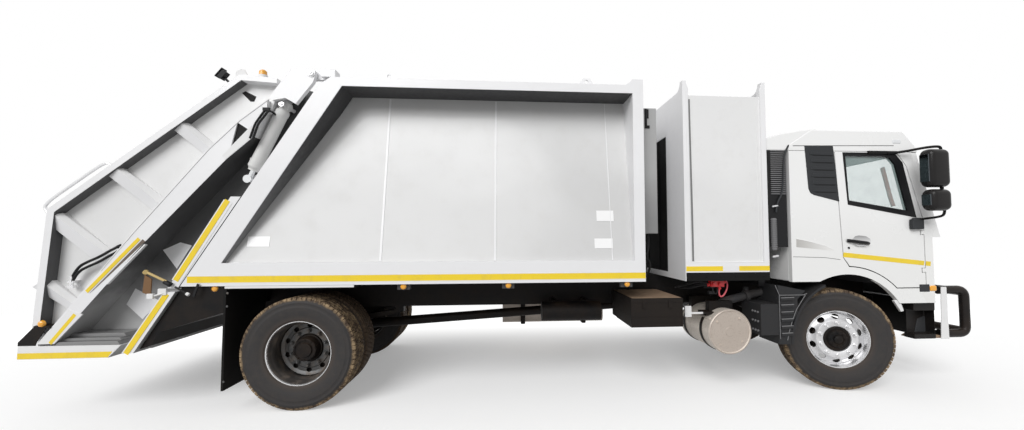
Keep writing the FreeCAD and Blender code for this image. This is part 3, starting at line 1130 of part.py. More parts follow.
def make_packer():
    """Packer carriage on its slides and the blade hinged to its lower edge."""
    half = "packer_half_width"
    low = "blade_hinge_at - 70"
    plate = profile("carriage_plate", "XZ",
                    [slide_point("carriage_start", "-45"), slide_point("carriage_start", "45"),
                     slide_point(low, "45"), slide_point(low, "-45")], f"-{half}", half)
    shoes = []
    for index, at in enumerate(("carriage_start + 40", "blade_hinge_at - 260")):
        shoes.append(profile(f"carriage_shoe_{index}", "XZ",
                             [slide_point(at, "-40"), slide_point(at, "40"), slide_point(f"{at} + 150", "40"),
                              slide_point(f"{at} + 150", "-40")],
                             "-tailgate_wall_y + tailgate_wall + 0.5",
                             "tailgate_wall_y - tailgate_wall - 0.5"))
    hinge_x, hinge_z = slide_point("blade_hinge_at")
    lugs = []
    for index, y in enumerate(("-packer_half_width", "-25", "packer_half_width - 50")):
        lug = profile(f"carriage_lug_{index}", "XZ",
                      [slide_point(f"{low} - 10", "-45"), slide_point(f"{low} - 10", "45"),
                       slide_point("blade_hinge_at", "45"), slide_point("blade_hinge_at", "-45")],
                      y, f"{y} + 50")
        eye = cylinder(f"carriage_eye_{index}", "Y", "45", "50", hinge_x, y, hinge_z)
        lugs += [lug, eye]
    bore = cylinder("carriage_bore", "Y", "30 + running_gap", "2 * packer_half_width + 20", hinge_x,
                    f"-{half} - 10", hinge_z)
    node("packer_carriage", cut("packer_carriage_cut", joined("carriage_solid", plate, *shoes, *lugs), bore))

    tip = "blade_hinge_at + blade_length"
    blade_parts = [cylinder("blade_shaft", "Y", "30", "2 * packer_half_width", hinge_x, f"-{half}", hinge_z)]
    for index, (y0, y1) in enumerate((("-packer_half_width + 56", "-31"), ("31", "packer_half_width - 56"))):
        blade_parts.append(profile(f"blade_root_{index}", "XZ",
                                   [slide_point("blade_hinge_at - 40", "-40"),
                                    slide_point("blade_hinge_at - 40", "40"),
                                    slide_point("blade_hinge_at + 70", "40"),
                                    slide_point("blade_hinge_at + 70", "-40")], y0, y1))
    blade_parts.append(profile("blade_plate", "XZ",
                               [slide_point("blade_hinge_at + 60", "-40"),
                                slide_point("blade_hinge_at + 60", "40"),
                                slide_point(tip, "20"), slide_point(tip, "-20")], f"-{half}", half))
    node("packer_blade", joined("packer_blade_fuse", *blade_parts))


make_chassis_frame()
make_driveline()
make_axles()
make_underbody()
make_front_end()
make_wheels()
make_steering()
make_body()
make_bin()
make_cab()
make_doors()
make_tailgate()
make_lift_cylinders()
make_packer()
doc.recompute()

# ---------------------------------------------------------------------------------------------
# Check every object, then write each sub-part to its own file
# ---------------------------------------------------------------------------------------------
for obj in doc.Objects:
    if "Invalid" in obj.State or "Error" in obj.State:
        raise RuntimeError(f"{obj.Name} failed: {obj.State}")
for obj in NODES:
    if obj.Shape.isNull() or not obj.Shape.isValid() or not obj.Shape.Solids:
        raise RuntimeError(f"{obj.Label} has no valid solid")

os.makedirs("parts", exist_ok=True)
for obj in NODES:
    obj.Shape.exportStep(f"parts/{obj.Label}.step")
    print(obj.Label, len(obj.Shape.Solids), round(obj.Shape.Volume / 1e9, 4))
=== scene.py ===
# A garbage truck: a cab-over two-axle chassis with a closed refuse body, a rear loader and an
# equipment bin. Lengths are metres; X points forward, Y to the truck's left, Z up.
import json
from math import atan, cos, pi, radians, sin, tan

import bmesh
import bpy
from mathutils import Matrix, Vector


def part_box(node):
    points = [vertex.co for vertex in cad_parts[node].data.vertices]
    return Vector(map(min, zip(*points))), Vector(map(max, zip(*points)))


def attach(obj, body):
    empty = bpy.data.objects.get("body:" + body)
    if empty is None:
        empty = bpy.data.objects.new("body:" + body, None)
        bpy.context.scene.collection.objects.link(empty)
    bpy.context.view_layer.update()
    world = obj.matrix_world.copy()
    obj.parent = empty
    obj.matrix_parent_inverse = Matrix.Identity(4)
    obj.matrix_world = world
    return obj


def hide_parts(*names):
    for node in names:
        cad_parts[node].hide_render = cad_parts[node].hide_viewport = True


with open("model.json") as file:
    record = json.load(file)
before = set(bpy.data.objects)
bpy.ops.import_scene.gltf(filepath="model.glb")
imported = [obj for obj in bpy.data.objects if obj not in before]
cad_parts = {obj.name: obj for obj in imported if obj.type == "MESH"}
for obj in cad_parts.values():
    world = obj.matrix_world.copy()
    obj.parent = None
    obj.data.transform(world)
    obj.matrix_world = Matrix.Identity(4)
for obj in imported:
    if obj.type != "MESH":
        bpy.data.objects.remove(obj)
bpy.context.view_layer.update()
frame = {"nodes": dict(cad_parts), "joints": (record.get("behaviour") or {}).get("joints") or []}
nodes = frame["nodes"]
scene = bpy.context.scene

# --- Camera: stands level with the chest of a person on the truck's right, between bin and
# tailgate. The wide lens takes in the whole length from about four metres off the wheels.
yaw, pitch, roll = 0.0779, 0.0468, 0.0022
lens = bpy.data.cameras.new("camera")
lens.sensor_width, lens.lens = 36.0, 14.4334
lens.shift_x, lens.shift_y = -0.0229395, 0.0039941
lens.clip_end = 200.0
camera = bpy.data.objects.new("camera", lens)
scene.collection.objects.link(camera)
camera.location = (-0.4225, -5.2488, 1.5968)
camera.rotation_euler = (Matrix.Rotation(-yaw, 3, "Z") @ Matrix.Rotation(pi / 2 + pitch, 3, "X")
                         @ Matrix.Rotation(-roll, 3, "Z")).to_euler()
scene.camera = camera

# --- Studio: a plain white floor that runs out of sight, one large high lamp on the camera's side
# for the light on the panels, and an even white room that fills the shadows.
scene.view_settings.view_transform = "Standard"


class Value:
    """A socket of a finish, on which ordinary sums add Math nodes."""

    def __init__(self, finish, socket):
        self.finish, self.socket = finish, socket

    def sum(self, operation, *terms):
        return self.finish.add("ShaderNodeMath", {"operation": operation}, dict(enumerate(terms)))

    def __add__(self, other):
        return self.sum("ADD", self, other)

    def __sub__(self, other):
        return self.sum("SUBTRACT", self, other)

    def __rsub__(self, other):
        return self.sum("SUBTRACT", other, self)

    def __mul__(self, other):
        return self.sum("MULTIPLY", self, other)

    def __gt__(self, other):
        return self.sum("GREATER_THAN", self, other)

    def __lt__(self, other):
        return self.sum("LESS_THAN", self, other)

    __radd__, __rmul__ = __add__, __mul__


class Finish:
    """A material as it is mixed: add() makes each node, and ordinary sums join their sockets."""

    def __init__(self, name, world=None):
        self.material = world or bpy.data.materials.new(name)
        self.material.use_nodes = True
        self.tree = self.material.node_tree
        self.tree.nodes.clear()

    def add(self, kind, settings=None, sockets=None, output=0):
        """Adds a node: its settings first, then the values or links of its sockets."""
        node = self.tree.nodes.new(kind)
        for key, setting in (settings or {}).items():
            setattr(node, key, setting)
        for key, value in (sockets or {}).items():
            socket = node.inputs[key]
            if isinstance(value, Value):
                self.tree.links.new(value.socket, socket)
            elif socket.type == "RGBA" and len(value) == 3:
                socket.default_value = (*value, 1.0)
            else:
                socket.default_value = value
        return None if output is None else Value(self, node.outputs[output])

    def mix(self, factor, first, second):
        """Two colours mixed."""
        return self.add("ShaderNodeMix", {"data_type": "RGBA", "clamp_factor": True},
                        {0: factor, 6: first, 7: second}, output=2)

    def seen(self):
        """1 where the camera looks straight, in a gloss or through glass."""
        straight, gloss, through = (self.add("ShaderNodeLightPath", output=f"Is {kind} Ray")
                                    for kind in ("Camera", "Glossy", "Transmission"))
        return straight.sum("MAXIMUM", straight.sum("MAXIMUM", straight, gloss), through)

    def place(self):
        """Where a point of the piece lies."""
        return self.add("ShaderNodeTexCoord", output="Object")

    def along(self, axis, vector=None):
        """One part of a vector, or of the place."""
        return self.add("ShaderNodeSeparateXYZ", sockets={"Vector": vector or self.place()}, output=axis)

    def facing(self, axis):
        """How far the surface faces along an axis."""
        return self.along(axis, self.add("ShaderNodeNewGeometry", output="Normal"))

    def noise(self, scale, detail=2.0, rough=0.5, vector=None):
        """Cloudy patches; the scale says how many to a metre."""
        return self.add("ShaderNodeTexNoise", sockets={"Vector": vector or self.place(), "Scale": scale,
                                                       "Detail": detail, "Roughness": rough})

    def spread(self, value, low, high, first=0.0, last=1.0, smooth=False):
        """Stretches a value from one range to another and holds it there."""
        return self.add("ShaderNodeMapRange", {"clamp": True, "interpolation_type": "SMOOTHSTEP" if smooth
                                               else "LINEAR"}, {0: value, 1: low, 2: high, 3: first, 4: last})

    def bump(self, height, strength, distance):
        """Relief too fine for the mesh."""
        return self.add("ShaderNodeBump",
                        sockets={"Strength": strength, "Distance": distance, "Height": height})

    def painted(self, colour, rough, normal=None, more=None):
        """Joins colour, roughness, relief and what else there is to the one shader."""
        sockets = {"Base Color": colour, "Roughness": rough, **(more or {})}
        if normal:
            sockets["Normal"] = normal
        return self.done(self.add("ShaderNodeBsdfPrincipled", sockets=sockets))

    def done(self, surface, output="ShaderNodeOutputMaterial"):
        """Joins the shader to the output and hands back the material."""
        self.add(output, sockets={"Surface": surface}, output=None)
        return self.material


def laid_out(name, form):
    """A worked form as an object in the scene."""
    mesh = bpy.data.meshes.new(name)
    form.to_mesh(mesh)
    form.free()
    thing = bpy.data.objects.new(name, mesh)
    scene.collection.objects.link(thing)
    return thing


white, room_light = (1.0, 1.0, 1.0), 0.5
scene.world = bpy.data.worlds.new("white_room")
room = Finish("white_room", scene.world)
room.done(room.add("ShaderNodeBackground", sockets={
    "Color": white, "Strength": room.seen() * (1.0 - room_light) + room_light}), "ShaderNodeOutputWorld")

form = bmesh.new()
bmesh.ops.create_grid(form, x_segments=1, y_segments=1, size=60.0)
studio_floor = laid_out("studio_floor", form)
ground = Finish("studio_floor")
ground_seen = ground.seen()
floor_paint = ground.add("ShaderNodeBsdfDiffuse", sockets={
    "Color": ground.mix(ground_seen, (0.42, 0.42, 0.42), (0.88, 0.88, 0.88))})
fade = ground.spread(ground.along("Y"), 0.9, 4.4, 0.12, 1.0, smooth=True)
white_paper = ground.add("ShaderNodeEmission", sockets={"Color": white, "Strength": 2.7 - fade * 1.7})
studio_floor.data.materials.append(ground.done(ground.add(
    "ShaderNodeMixShader", sockets={0: fade * ground_seen, 1: floor_paint, 2: white_paper})))

key_light = bpy.data.lights.new("key_lamp", "SUN")
key_light.energy, key_light.angle = 2.35, radians(38.0)
key_lamp = bpy.data.objects.new("key_lamp", key_light)
scene.collection.objects.link(key_lamp)
key_lamp.rotation_euler = Vector((0.4, 0.84, -0.62)).to_track_quat("-Z", "Y").to_euler()

# --- Frame and running gear: pressed rails, springs, axles and the drive line, all in black chassis
# paint that has dulled, with brown road dust lying on whatever faces up.
ROAD_DUST = (0.12, 0.075, 0.045)


def dusted(finish, colour, amount):
    """A colour with road dust of that amount in patches, most of it low down and facing up."""
    patches, grains = finish.noise(5.0, 6.0, 0.62), finish.noise(160.0)
    low = finish.spread(finish.along("Z"), 0.1, 1.4, 1.0, 0.25)
    lying = finish.spread(finish.facing("Z"), -0.2, 0.9, 0.35, 1.0)
    film = finish.spread(patches * 0.8 + grains * 0.25, 0.38, 0.68)
    cover = film * low * lying * amount
    return finish.mix(cover, colour, ROAD_DUST), cover, patches, grains


def chassis_paint(name, colour=(0.006, 0.006, 0.0065), dust=0.35, rough=0.48):
    """Dulled paint over rolled steel; black if nothing else is said."""
    finish = Finish(name)
    shade, cover, patches, grains = dusted(finish, colour, dust)
    return finish.painted(shade, patches * 0.18 + cover * 0.4 + (rough - 0.08),
                          finish.bump(grains, 0.25, 0.002), {"IOR": 1.22})


def coat(finish, *names):
    """Puts a finish on CAD parts whose shape is right as it is."""
    for name in names:
        slots = nodes[name].data.materials
        for index in range(len(slots)):
            slots[index] = finish
        if not slots:
            slots.append(finish)


black_paint = chassis_paint("chassis_black_paint")
coat(black_paint, "chassis_frame", "leaf_springs", "rear_axle_housing", "front_axle_beam", "propeller_shaft",
     "knuckle_right", "knuckle_left", "tie_rod", "air_tanks", "engine_block", "body_floor")

# --- Tyres: single in front, twins behind. Vulcanised rubber with five rows of tread blocks moulded
# on, a raised ring near the shoulder, and clay dust in the tread and about the beads.
joints = {joint["name"]: joint for joint in frame["joints"]}
CORNERS = ("front_right", "front_left", "rear_right", "rear_left")
FRONT_OFFSET, REAR_OFFSET, TWIN_SPACING = 0.122, 0.182, 0.33
TREAD_TOP, TREAD_PITCHES, BLOCK_HALF_LENGTH = 0.5239, 72, 0.019
BEAD_TO_CROWN = [(0.289, 0.1), (0.301, 0.112), (0.309, 0.1145), (0.313, 0.12), (0.322, 0.1235),
                 (0.33, 0.1235), (0.36, 0.132), (0.4, 0.1368), (0.425, 0.1372), (0.428, 0.1374),
                 (0.433, 0.1374), (0.436, 0.136), (0.462, 0.1345), (0.468, 0.1362), (0.474, 0.136),
                 (0.478, 0.1325), (0.492, 0.129), (0.5, 0.124), (0.506, 0.116), (0.5115, 0.1), (0.5125, 0.05)]
# rows of blocks across the tread: near edge, far edge, radius of the foot
TREAD_ROWS = ((-0.13, -0.09, 0.492), (-0.082, -0.034, 0.508), (-0.026, 0.026, 0.508),
              (0.034, 0.082, 0.508), (0.09, 0.13, 0.492))


def piece(name, form, finish, body="chassis", bevel=0.0, slot=None, smooth=38.0, segments=2):
    """Makes a worked form into a piece in its finish, riding on its body, with its edges eased."""
    thing = laid_out(name, form)
    thing.data.shade_smooth()
    thing.data.set_sharp_from_angle(angle=radians(smooth))
    thing.data.materials.append(finish)
    if bevel:
        ease = thing.modifiers.new("eased_edges", "BEVEL")
        ease.width, ease.segments = bevel, segments
        ease.limit_method, ease.angle_limit = "ANGLE", radians(32.0)
        ease.harden_normals = True
    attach(thing, body)
    return thing


def turn(form, outline, steps=96, closed=True):
    """Turns an outline of (radius, outboard) about the axle, which lies along Y."""
    corners = [form.verts.new((0.0, outboard, radius)) for radius, outboard in outline]
    edges = [form.edges.new(pair) for pair in zip(corners, corners[1:])]
    if closed:
        edges.append(form.edges.new((corners[-1], corners[0])))
    bmesh.ops.spin(form, geom=corners + edges, cent=(0.0, 0.0, 0.0), axis=(0.0, 1.0, 0.0),
                   dvec=(0.0, 0.0, 0.0), angle=2 * pi, steps=steps, use_merge=True)
    bmesh.ops.remove_doubles(form, verts=form.verts, dist=1e-5)
    bmesh.ops.recalc_face_normals(form, faces=form.faces)


def block(form, low, high, place=None):
    """A block between two corners, moved by a matrix; returns its vertices."""
    low, high = Vector(low), Vector(high)
    made = bmesh.ops.create_cube(form, size=1.0)["verts"]
    bmesh.ops.scale(form, vec=high - low, verts=made)
    bmesh.ops.translate(form, vec=(low + high) / 2, verts=made)
    if place:
        bmesh.ops.transform(form, matrix=place, verts=made)
    return made


def repeat_round(form, made, count):
    """Repeats vertices and their faces round the axle."""
    chosen = set(made)
    faces = [face for face in form.faces if chosen.issuperset(face.verts)]
    edges = [edge for edge in form.edges if chosen.issuperset(edge.verts)]
    bmesh.ops.spin(form, geom=list(made) + edges + faces, cent=(0.0, 0.0, 0.0), axis=(0.0, 1.0, 0.0),
                   dvec=(0.0, 0.0, 0.0), angle=2 * pi * (count - 1) / count, steps=count - 1,
                   use_duplicate=True)


def wheel_place(joint, outboard):
    """Where a wheel's middle plane is: local Y points outboard along the axle."""
    centre, axis = Vector(joint["pos_m"]), Vector(joint["axis"]).normalized()
    out = axis if centre.y > 0 else -axis
    across = out.cross(Vector((0.0, 0.0, 1.0)))
    centre = centre + out * outboard
    return Matrix(((across.x, out.x, 0.0, centre.x), (across.y, out.y, 0.0, centre.y),
                   (0.0, 0.0, 1.0, centre.z), (0.0, 0.0, 0.0, 1.0)))


def tyre_form(form):
    """One tyre about its own middle."""
    mirrored = [(radius, -outboard) for radius, outboard in reversed(BEAD_TO_CROWN)]
    turn(form, BEAD_TO_CROWN + mirrored + [(0.283, -0.085), (0.283, 0.085)])
    pitch = 2 * pi / TREAD_PITCHES
    for row, (near, far, foot) in enumerate(TREAD_ROWS):
        made = block(form, (-BLOCK_HALF_LENGTH, near, foot), (BLOCK_HALF_LENGTH, far, TREAD_TOP),
                     Matrix.Rotation(pitch * (row % 2) / 2, 4, "Y"))
        outer = [vertex for vertex in made if abs(abs(vertex.co.y) - 0.13) < 1e-4 and vertex.co.z > 0.515]
        bmesh.ops.translate(form, vec=(0.0, -0.012 if near > 0 else 0.012, -0.003), verts=outer)
        repeat_round(form, made, TREAD_PITCHES)


def added(form, shape, place):
    """Works a shape on its own, then sets it into a form at its place."""
    part = bmesh.new()
    shape(part)
    bmesh.ops.transform(part, matrix=place, verts=part.verts)
    mesh = bpy.data.meshes.new("part")
    part.to_mesh(mesh)
    part.free()
    form.from_mesh(mesh)
    bpy.data.meshes.remove(mesh)


def mark_radius(thing, joint):
    """Stores each vertex's distance from the axle, which the dust on a wheel follows."""
    ring = thing.data.attributes.new("axle_distance", "FLOAT", "POINT")
    centre, axis = Vector(joint["pos_m"]), Vector(joint["axis"]).normalized()
    for index, vertex in enumerate(thing.data.vertices):
        arm = vertex.co - centre
        ring.data[index].value = (arm - axis * arm.dot(axis)).length


rubber = Finish("tyre_rubber")
round_at = rubber.add("ShaderNodeAttribute", {"attribute_name": "axle_distance"}, output="Fac")
clay, grit = rubber.noise(14.0, 8.0, 0.7), rubber.noise(95.0, 4.0, 0.6)
tread_clay = rubber.spread(round_at + clay * 0.02, 0.497, 0.516)
top_clay = rubber.spread(clay + grit * 0.35, 0.6, 0.8)
bead_clay = rubber.spread(round_at + clay * 0.05, 0.38, 0.32)
side_film = rubber.spread(clay, 0.42, 0.72)
across = rubber.along("Y")
outer_tyre = (across * across > 0.92 ** 2) * 0.85 + 0.15
shade = rubber.mix(side_film * 0.3, (0.03, 0.028, 0.028), (0.075, 0.062, 0.052))
shade = rubber.mix(bead_clay * 0.4, shade, (0.085, 0.06, 0.042))
shade = rubber.mix(tread_clay * 0.7, shade, (0.08, 0.05, 0.03))
shade = rubber.mix(tread_clay * top_clay * outer_tyre * 0.8, shade, (0.4, 0.29, 0.17))
tyre_rubber = rubber.painted(shade, side_film * 0.15 + tread_clay * 0.2 + 0.58,
                             rubber.bump(grit, 0.5, 0.0015),
                             {"IOR": 1.33})

for corner in CORNERS:
    joint = joints[corner + "_spin"]
    front = corner.startswith("front")
    form = bmesh.new()
    for middle in (FRONT_OFFSET,) if front else (REAR_OFFSET, REAR_OFFSET - TWIN_SPACING):
        added(form, tyre_form, wheel_place(joint, middle))
    tyre = piece(corner + ("_tread_tyre" if front else "_tread_tyres"), form, tyre_rubber, joint["child"],
                 slot="tyre_rubber", smooth=30.0)
    mark_radius(tyre, joint)
    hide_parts(corner + ("_tyre" if front else "_tyres"))

# --- Wheels: pressed steel discs welded in rolled rims and sprayed silver, the rim's lip polished.
# Ten hand holes let air to the brake, ten capped nuts hold each wheel, and the hub is black. The
# rear discs and the insides of the rims are dark as painted shade, with brake dust on them.
HAND_HOLES, NUTS, NUT_RING = 10, 10, 0.1675
# cones of a nut from the disc out: sides, foot and head radius, depth, middle above the disc
NUT_CONES = ((24, 0.0215, 0.0205, 0.006, 0.003), (6, 0.0175, 0.017, 0.02, 0.016),
             (16, 0.0125, 0.0085, 0.01, 0.031))
# the rolled rim: lip, bead seats and well, and back under them
RIM = [(0.288, 0.09), (0.2995, 0.1), (0.2998, 0.109), (0.2975, 0.1145), (0.2935, 0.1148), (0.2895, 0.11),
       (0.287, 0.1), (0.279, 0.09), (0.2765, 0.07), (0.27, 0.055), (0.261, 0.035), (0.26, 0.0),
       (0.269, -0.025), (0.274, -0.07), (0.276, -0.112), (0.286, -0.112), (0.285, -0.06), (0.276, -0.02),
       (0.27, 0.0), (0.271, 0.03), (0.284, 0.065), (0.286, 0.088)]
# outlines of disc, hub and drum; the disc's face; the hand holes' ring, half length and half
# height; the hub bolts' number, ring and middle
FRONT_WHEEL = (
    [(0.2655, 0.044), (0.26, 0.05), (0.248, 0.053), (0.23, 0.064), (0.212, 0.079), (0.203, 0.09),
     (0.196, 0.0955), (0.14, 0.0965), (0.134, 0.094), (0.13, 0.086), (0.129, 0.06), (0.136, 0.06),
     (0.138, 0.084), (0.195, 0.085), (0.205, 0.074), (0.228, 0.053), (0.248, 0.043), (0.262, 0.038)],
    [(0.1275, 0.04), (0.1275, 0.084), (0.12, 0.09), (0.108, 0.091), (0.103, 0.087), (0.096, 0.087),
     (0.09, 0.104), (0.08, 0.112), (0.056, 0.114), (0.053, 0.108), (0.038, 0.108), (0.035, 0.124),
     (0.027, 0.129), (0.0, 0.13)],
    [(0.13, -0.135), (0.208, -0.135), (0.208, 0.02), (0.19, 0.03), (0.13, 0.032)],
    0.0965, 0.232, 0.036, 0.025, 8, 0.068, 0.118)
REAR_WHEEL = (
    [(0.264, -0.098), (0.258, -0.1), (0.245, -0.104), (0.233, -0.112), (0.2, -0.112), (0.196, -0.108),
     (0.192, -0.104), (0.14, -0.103), (0.135, -0.106), (0.132, -0.12), (0.138, -0.124), (0.19, -0.122),
     (0.235, -0.124), (0.264, -0.116)],
    [(0.1315, -0.13), (0.1315, -0.098), (0.128, -0.092), (0.118, -0.09), (0.112, -0.07), (0.109, -0.02),
     (0.106, -0.008), (0.1, -0.004), (0.09, -0.004), (0.088, -0.01), (0.07, -0.011), (0.066, 0.004),
     (0.0, 0.006)],
    [(0.13, -0.15), (0.256, -0.15), (0.256, -0.25), (0.13, -0.25)],
    -0.103, 0.217, 0.027, 0.0215, 10, 0.098, -0.001)


def wheel_silver(name, colour, rough, grime):
    """Silver paint over steel, with brown brake dust in its hollows."""
    finish = Finish(name)
    cloud = finish.noise(11.0, 6.0, 0.6)
    stain = finish.spread(cloud, 0.45, 0.7)
    return finish.painted(finish.mix(stain * grime, colour, (0.2, 0.15, 0.11)),
                          stain * 0.25 + cloud * 0.1 + rough,
                          finish.bump(finish.noise(500.0, 1.0), 0.15, 0.0004),
                          {"Metallic": stain * (-0.5 * grime) + 0.75})


silver = wheel_silver("wheel_silver_paint", (0.6, 0.6, 0.61), 0.38, 0.12)
bright_steel = wheel_silver("bright_steel", (0.78, 0.78, 0.79), 0.14, 0.12)
# painted shade: the rims' insides and the rear discs, deep in the wheels' dish, are near black, with brake
# dust in patches
grimy_steel = wheel_silver("grimy_steel", (0.115, 0.105, 0.098), 0.4, 0.6)
dark_steel_painted_shade = wheel_silver("dark_steel_painted_shade", (0.085, 0.085, 0.085), 0.42, 0.5)


def as_shown(thing):
    """The mesh of a thing with its modifiers worked in."""
    return bpy.data.meshes.new_from_object(thing.evaluated_get(bpy.context.evaluated_depsgraph_get()))


def saw(form, cutter):
    """Cuts one worked form away from another and hands back what is left."""
    things = [laid_out("sawn", form), laid_out("cutter", cutter)]
    knife = things[0].modifiers.new("knife", "BOOLEAN")
    knife.operation, knife.solver, knife.object = "DIFFERENCE", "EXACT", things[1]
    left, meshes = bmesh.new(), [as_shown(things[0])]
    left.from_mesh(meshes[0])
    for thing in things:
        meshes.append(thing.data)
        bpy.data.objects.remove(thing)
    for mesh in meshes:
        bpy.data.meshes.remove(mesh)
    return left


def stud(form, ring, outboard, sides, foot, head, depth, turned=-pi / 2, stretch=(1.0, 1.0, 1.0)):
    """A cone that stands on the wheel's face at a distance above the axle."""
    place = Matrix.Translation((0.0, outboard, ring)) @ Matrix.Rotation(turned, 4, "X")
    return bmesh.ops.create_cone(form, cap_ends=True, segments=sides, radius1=foot, radius2=head, depth=depth,
                                 matrix=place @ Matrix.Diagonal((*stretch, 1.0)))["verts"]


for corner in CORNERS:
    joint = joints[corner + "_spin"]
    body, front = joint["child"], corner.startswith("front")
    disc, hub, drum, face, hole_ring, hole_long, hole_high, bolts, bolt_ring, bolt_face = \
        FRONT_WHEEL if front else REAR_WHEEL
    form = bmesh.new()
    turn(form, RIM)
    rim = piece(corner + "_rim", form, bright_steel, body, slot="wheel_steel", smooth=32.0)
    rim.data.materials.append(grimy_steel)
    for polygon in rim.data.polygons:
        x, y, z = polygon.center
        polygon.material_index = int(y < 0.04 if front else Vector((x, z)).length < 0.2868)
    form, holes = bmesh.new(), bmesh.new()
    turn(form, disc)
    repeat_round(holes, stud(holes, hole_ring, face - 0.02, 20, 1.0, 1.0, 0.16, pi / 2,
                             (hole_long, hole_high, 1.0)), HAND_HOLES)
    parts = [rim, piece(corner + "_wheel_disc", saw(form, holes), silver if front else dark_steel_painted_shade, body,
                        slot="wheel_steel", smooth=32.0)]
    form = bmesh.new()
    cones = [stud(form, NUT_RING, face + middle, *cone) for *cone, middle in NUT_CONES]
    repeat_round(form, sum(cones, []), NUTS)
    parts.append(piece(corner + "_wheel_nuts", form, bright_steel if front else dark_steel_painted_shade, body,
                       bevel=0.0012,
                       slot="wheel_steel"))
    form = bmesh.new()
    turn(form, hub, 64, closed=False)
    repeat_round(form, stud(form, bolt_ring, bolt_face, 6, 0.0085, 0.0085, 0.01), bolts)
    turn(form, drum, 64, closed=False)
    parts.append(piece(corner + "_hub", form, black_paint, body, smooth=32.0))
    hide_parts(corner + ("_wheel" if front else "_wheels"))
    if not front:
        form = bmesh.new()
        turn(form, [(radius, -outboard) for radius, outboard in RIM])
        bmesh.ops.translate(form, vec=(0.0, -TWIN_SPACING, 0.0), verts=form.verts)
        parts.append(piece(corner + "_inner_rim", form, dark_steel_painted_shade, body, slot="wheel_steel"))
    place = wheel_place(joint, FRONT_OFFSET if front else REAR_OFFSET)
    for part in parts:
        part.data.transform(place)

# --- Mudflaps and guards behind the wheels: black rubber sheet hung from the body, with a white
# painted strip above the rear wheels; dark moulded guards with ribs, and rung steps, in front.
rear_axle_x = joints["rear_right_spin"]["pos_m"][0]
BODY_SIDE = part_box("body_sides")[1].y
GUARD_LIPS = (0.59, 0.662, 0.734, 0.806, 0.878, 0.95)


def box_at(node):
    """A CAD part's box, with X counted from the rear axle, as in every piece from here on."""
    return [corner - Vector((rear_axle_x, 0.0, 0.0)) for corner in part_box(node)]


def thickened(form, faces, depth):
    """Gives flat faces a thickness across the truck; returns the vertices of the far side."""
    grown = bmesh.ops.extrude_face_region(form, geom=faces)["geom"]
    moved = [part for part in grown if isinstance(part, bmesh.types.BMVert)]
    bmesh.ops.translate(form, vec=(0.0, depth, 0.0), verts=moved)
    sides = {face for vert in moved for face in vert.link_faces}
    bmesh.ops.recalc_face_normals(form, faces=[*faces, *sides])
    return moved


def plate(form, outline, near, far):
    """A plate cut to an outline in side view, between two distances across the truck."""
    return thickened(form, [form.faces.new([form.verts.new((x, near, z)) for x, z in outline])], far - near)


def band(form, line, width, near, far):
    """A strip that follows a line in side view, its other edge that width away to the right of it."""
    places = [Vector(point) for point in line]
    aside = []
    for index, place in enumerate(places):
        before = (place - places[index - 1]).normalized() if index else None
        after = (places[index + 1] - place).normalized() if index + 1 < len(places) else before
        before = before or after
        normal = Vector((before.y + after.y, -before.x - after.x)).normalized()
        aside.append(place + normal * (width / max(0.3, normal.dot(Vector((after.y, -after.x))))))
    plate(form, places + aside[::-1], near, far)


def rod(form, start, end, radius, sides=20, far_radius=None):
    """A round bar between two points."""
    start, end = Vector(start), Vector(end)
    run = end - start
    place = Matrix.Translation((start + end) / 2) @ run.to_track_quat("Z", "Y").to_matrix().to_4x4()
    return bmesh.ops.create_cone(form, cap_ends=True, segments=sides, radius1=radius,
                                 radius2=radius if far_radius is None else far_radius,
                                 depth=run.length, matrix=place)["verts"]


def bolt(form, x, z, near, far, *sizes):
    """A round bar that stands straight out of the side."""
    return rod(form, (x, near, z), (x, far, z), *sizes)


def bent(form, points, radius, rings=3):
    """A bent bar, pipe or hose along points, rounded where it turns."""
    line = bpy.data.curves.new("bent", "CURVE")
    line.dimensions, line.bevel_depth, line.bevel_resolution = "3D", radius, rings
    line.use_fill_caps, line.resolution_u = True, 6
    spline = line.splines.new("NURBS")
    spline.points.add(len(points) - 1)
    for point, place in zip(spline.points, points):
        point.co = (*place, 1.0)
    spline.order_u, spline.use_endpoint_u = 3, True
    holder = bpy.data.objects.new("bent", line)
    mesh = bpy.data.meshes.new_from_object(holder)
    form.from_mesh(mesh)
    bpy.data.objects.remove(holder)
    bpy.data.curves.remove(line)
    bpy.data.meshes.remove(mesh)


def bent_at(form, y, points, *sizes):
    """A bent bar that keeps one distance across the truck."""
    bent(form, [(x, y, z) for x, z in points], *sizes)


def worked(parts):
    """A form of parts, each a tool and what it is given, with X counted from the rear axle."""
    form = bmesh.new()
    for tool, *given in parts:
        tool(form, *given)
    bmesh.ops.translate(form, vec=(rear_axle_x, 0.0, 0.0), verts=form.verts)
    return form


def mirrored(form, copy):
    """Makes a form, or a copy of it beside it, its mirror image across the truck."""
    geometry = [*form.verts, *form.edges, *form.faces]
    if copy:
        geometry = bmesh.ops.duplicate(form, geom=geometry)["geom"]
    verts = [part for part in geometry if isinstance(part, bmesh.types.BMVert)]
    bmesh.ops.scale(form, vec=(1.0, -1.0, 1.0), verts=verts)
    bmesh.ops.reverse_faces(form, faces=[part for part in geometry if isinstance(part, bmesh.types.BMFace)])


def fit(name, finish, *parts, body="chassis", twice=True, **edges):
    """Makes a piece of such parts, as a rule with the same on the truck's left side."""
    form = worked(parts)
    if twice:
        mirrored(form, copy=True)
    return piece(name, form, finish, body, **edges)


def moulded(name, colour, rough=0.55, dust=0.2, grain=0.0006):
    """Moulded plastic or rubber with a fine grain."""
    finish = Finish(name)
    shade, cover, patches, grains = dusted(finish, colour, dust)
    cells = finish.add("ShaderNodeTexVoronoi", {"feature": "DISTANCE_TO_EDGE"},
                       {"Vector": finish.place(), "Scale": 420.0}, output="Distance")
    return finish.painted(shade, patches * 0.2 + cover * 0.2 + (rough - 0.1), finish.bump(cells, 0.4, grain),
                          {"IOR": 1.25})


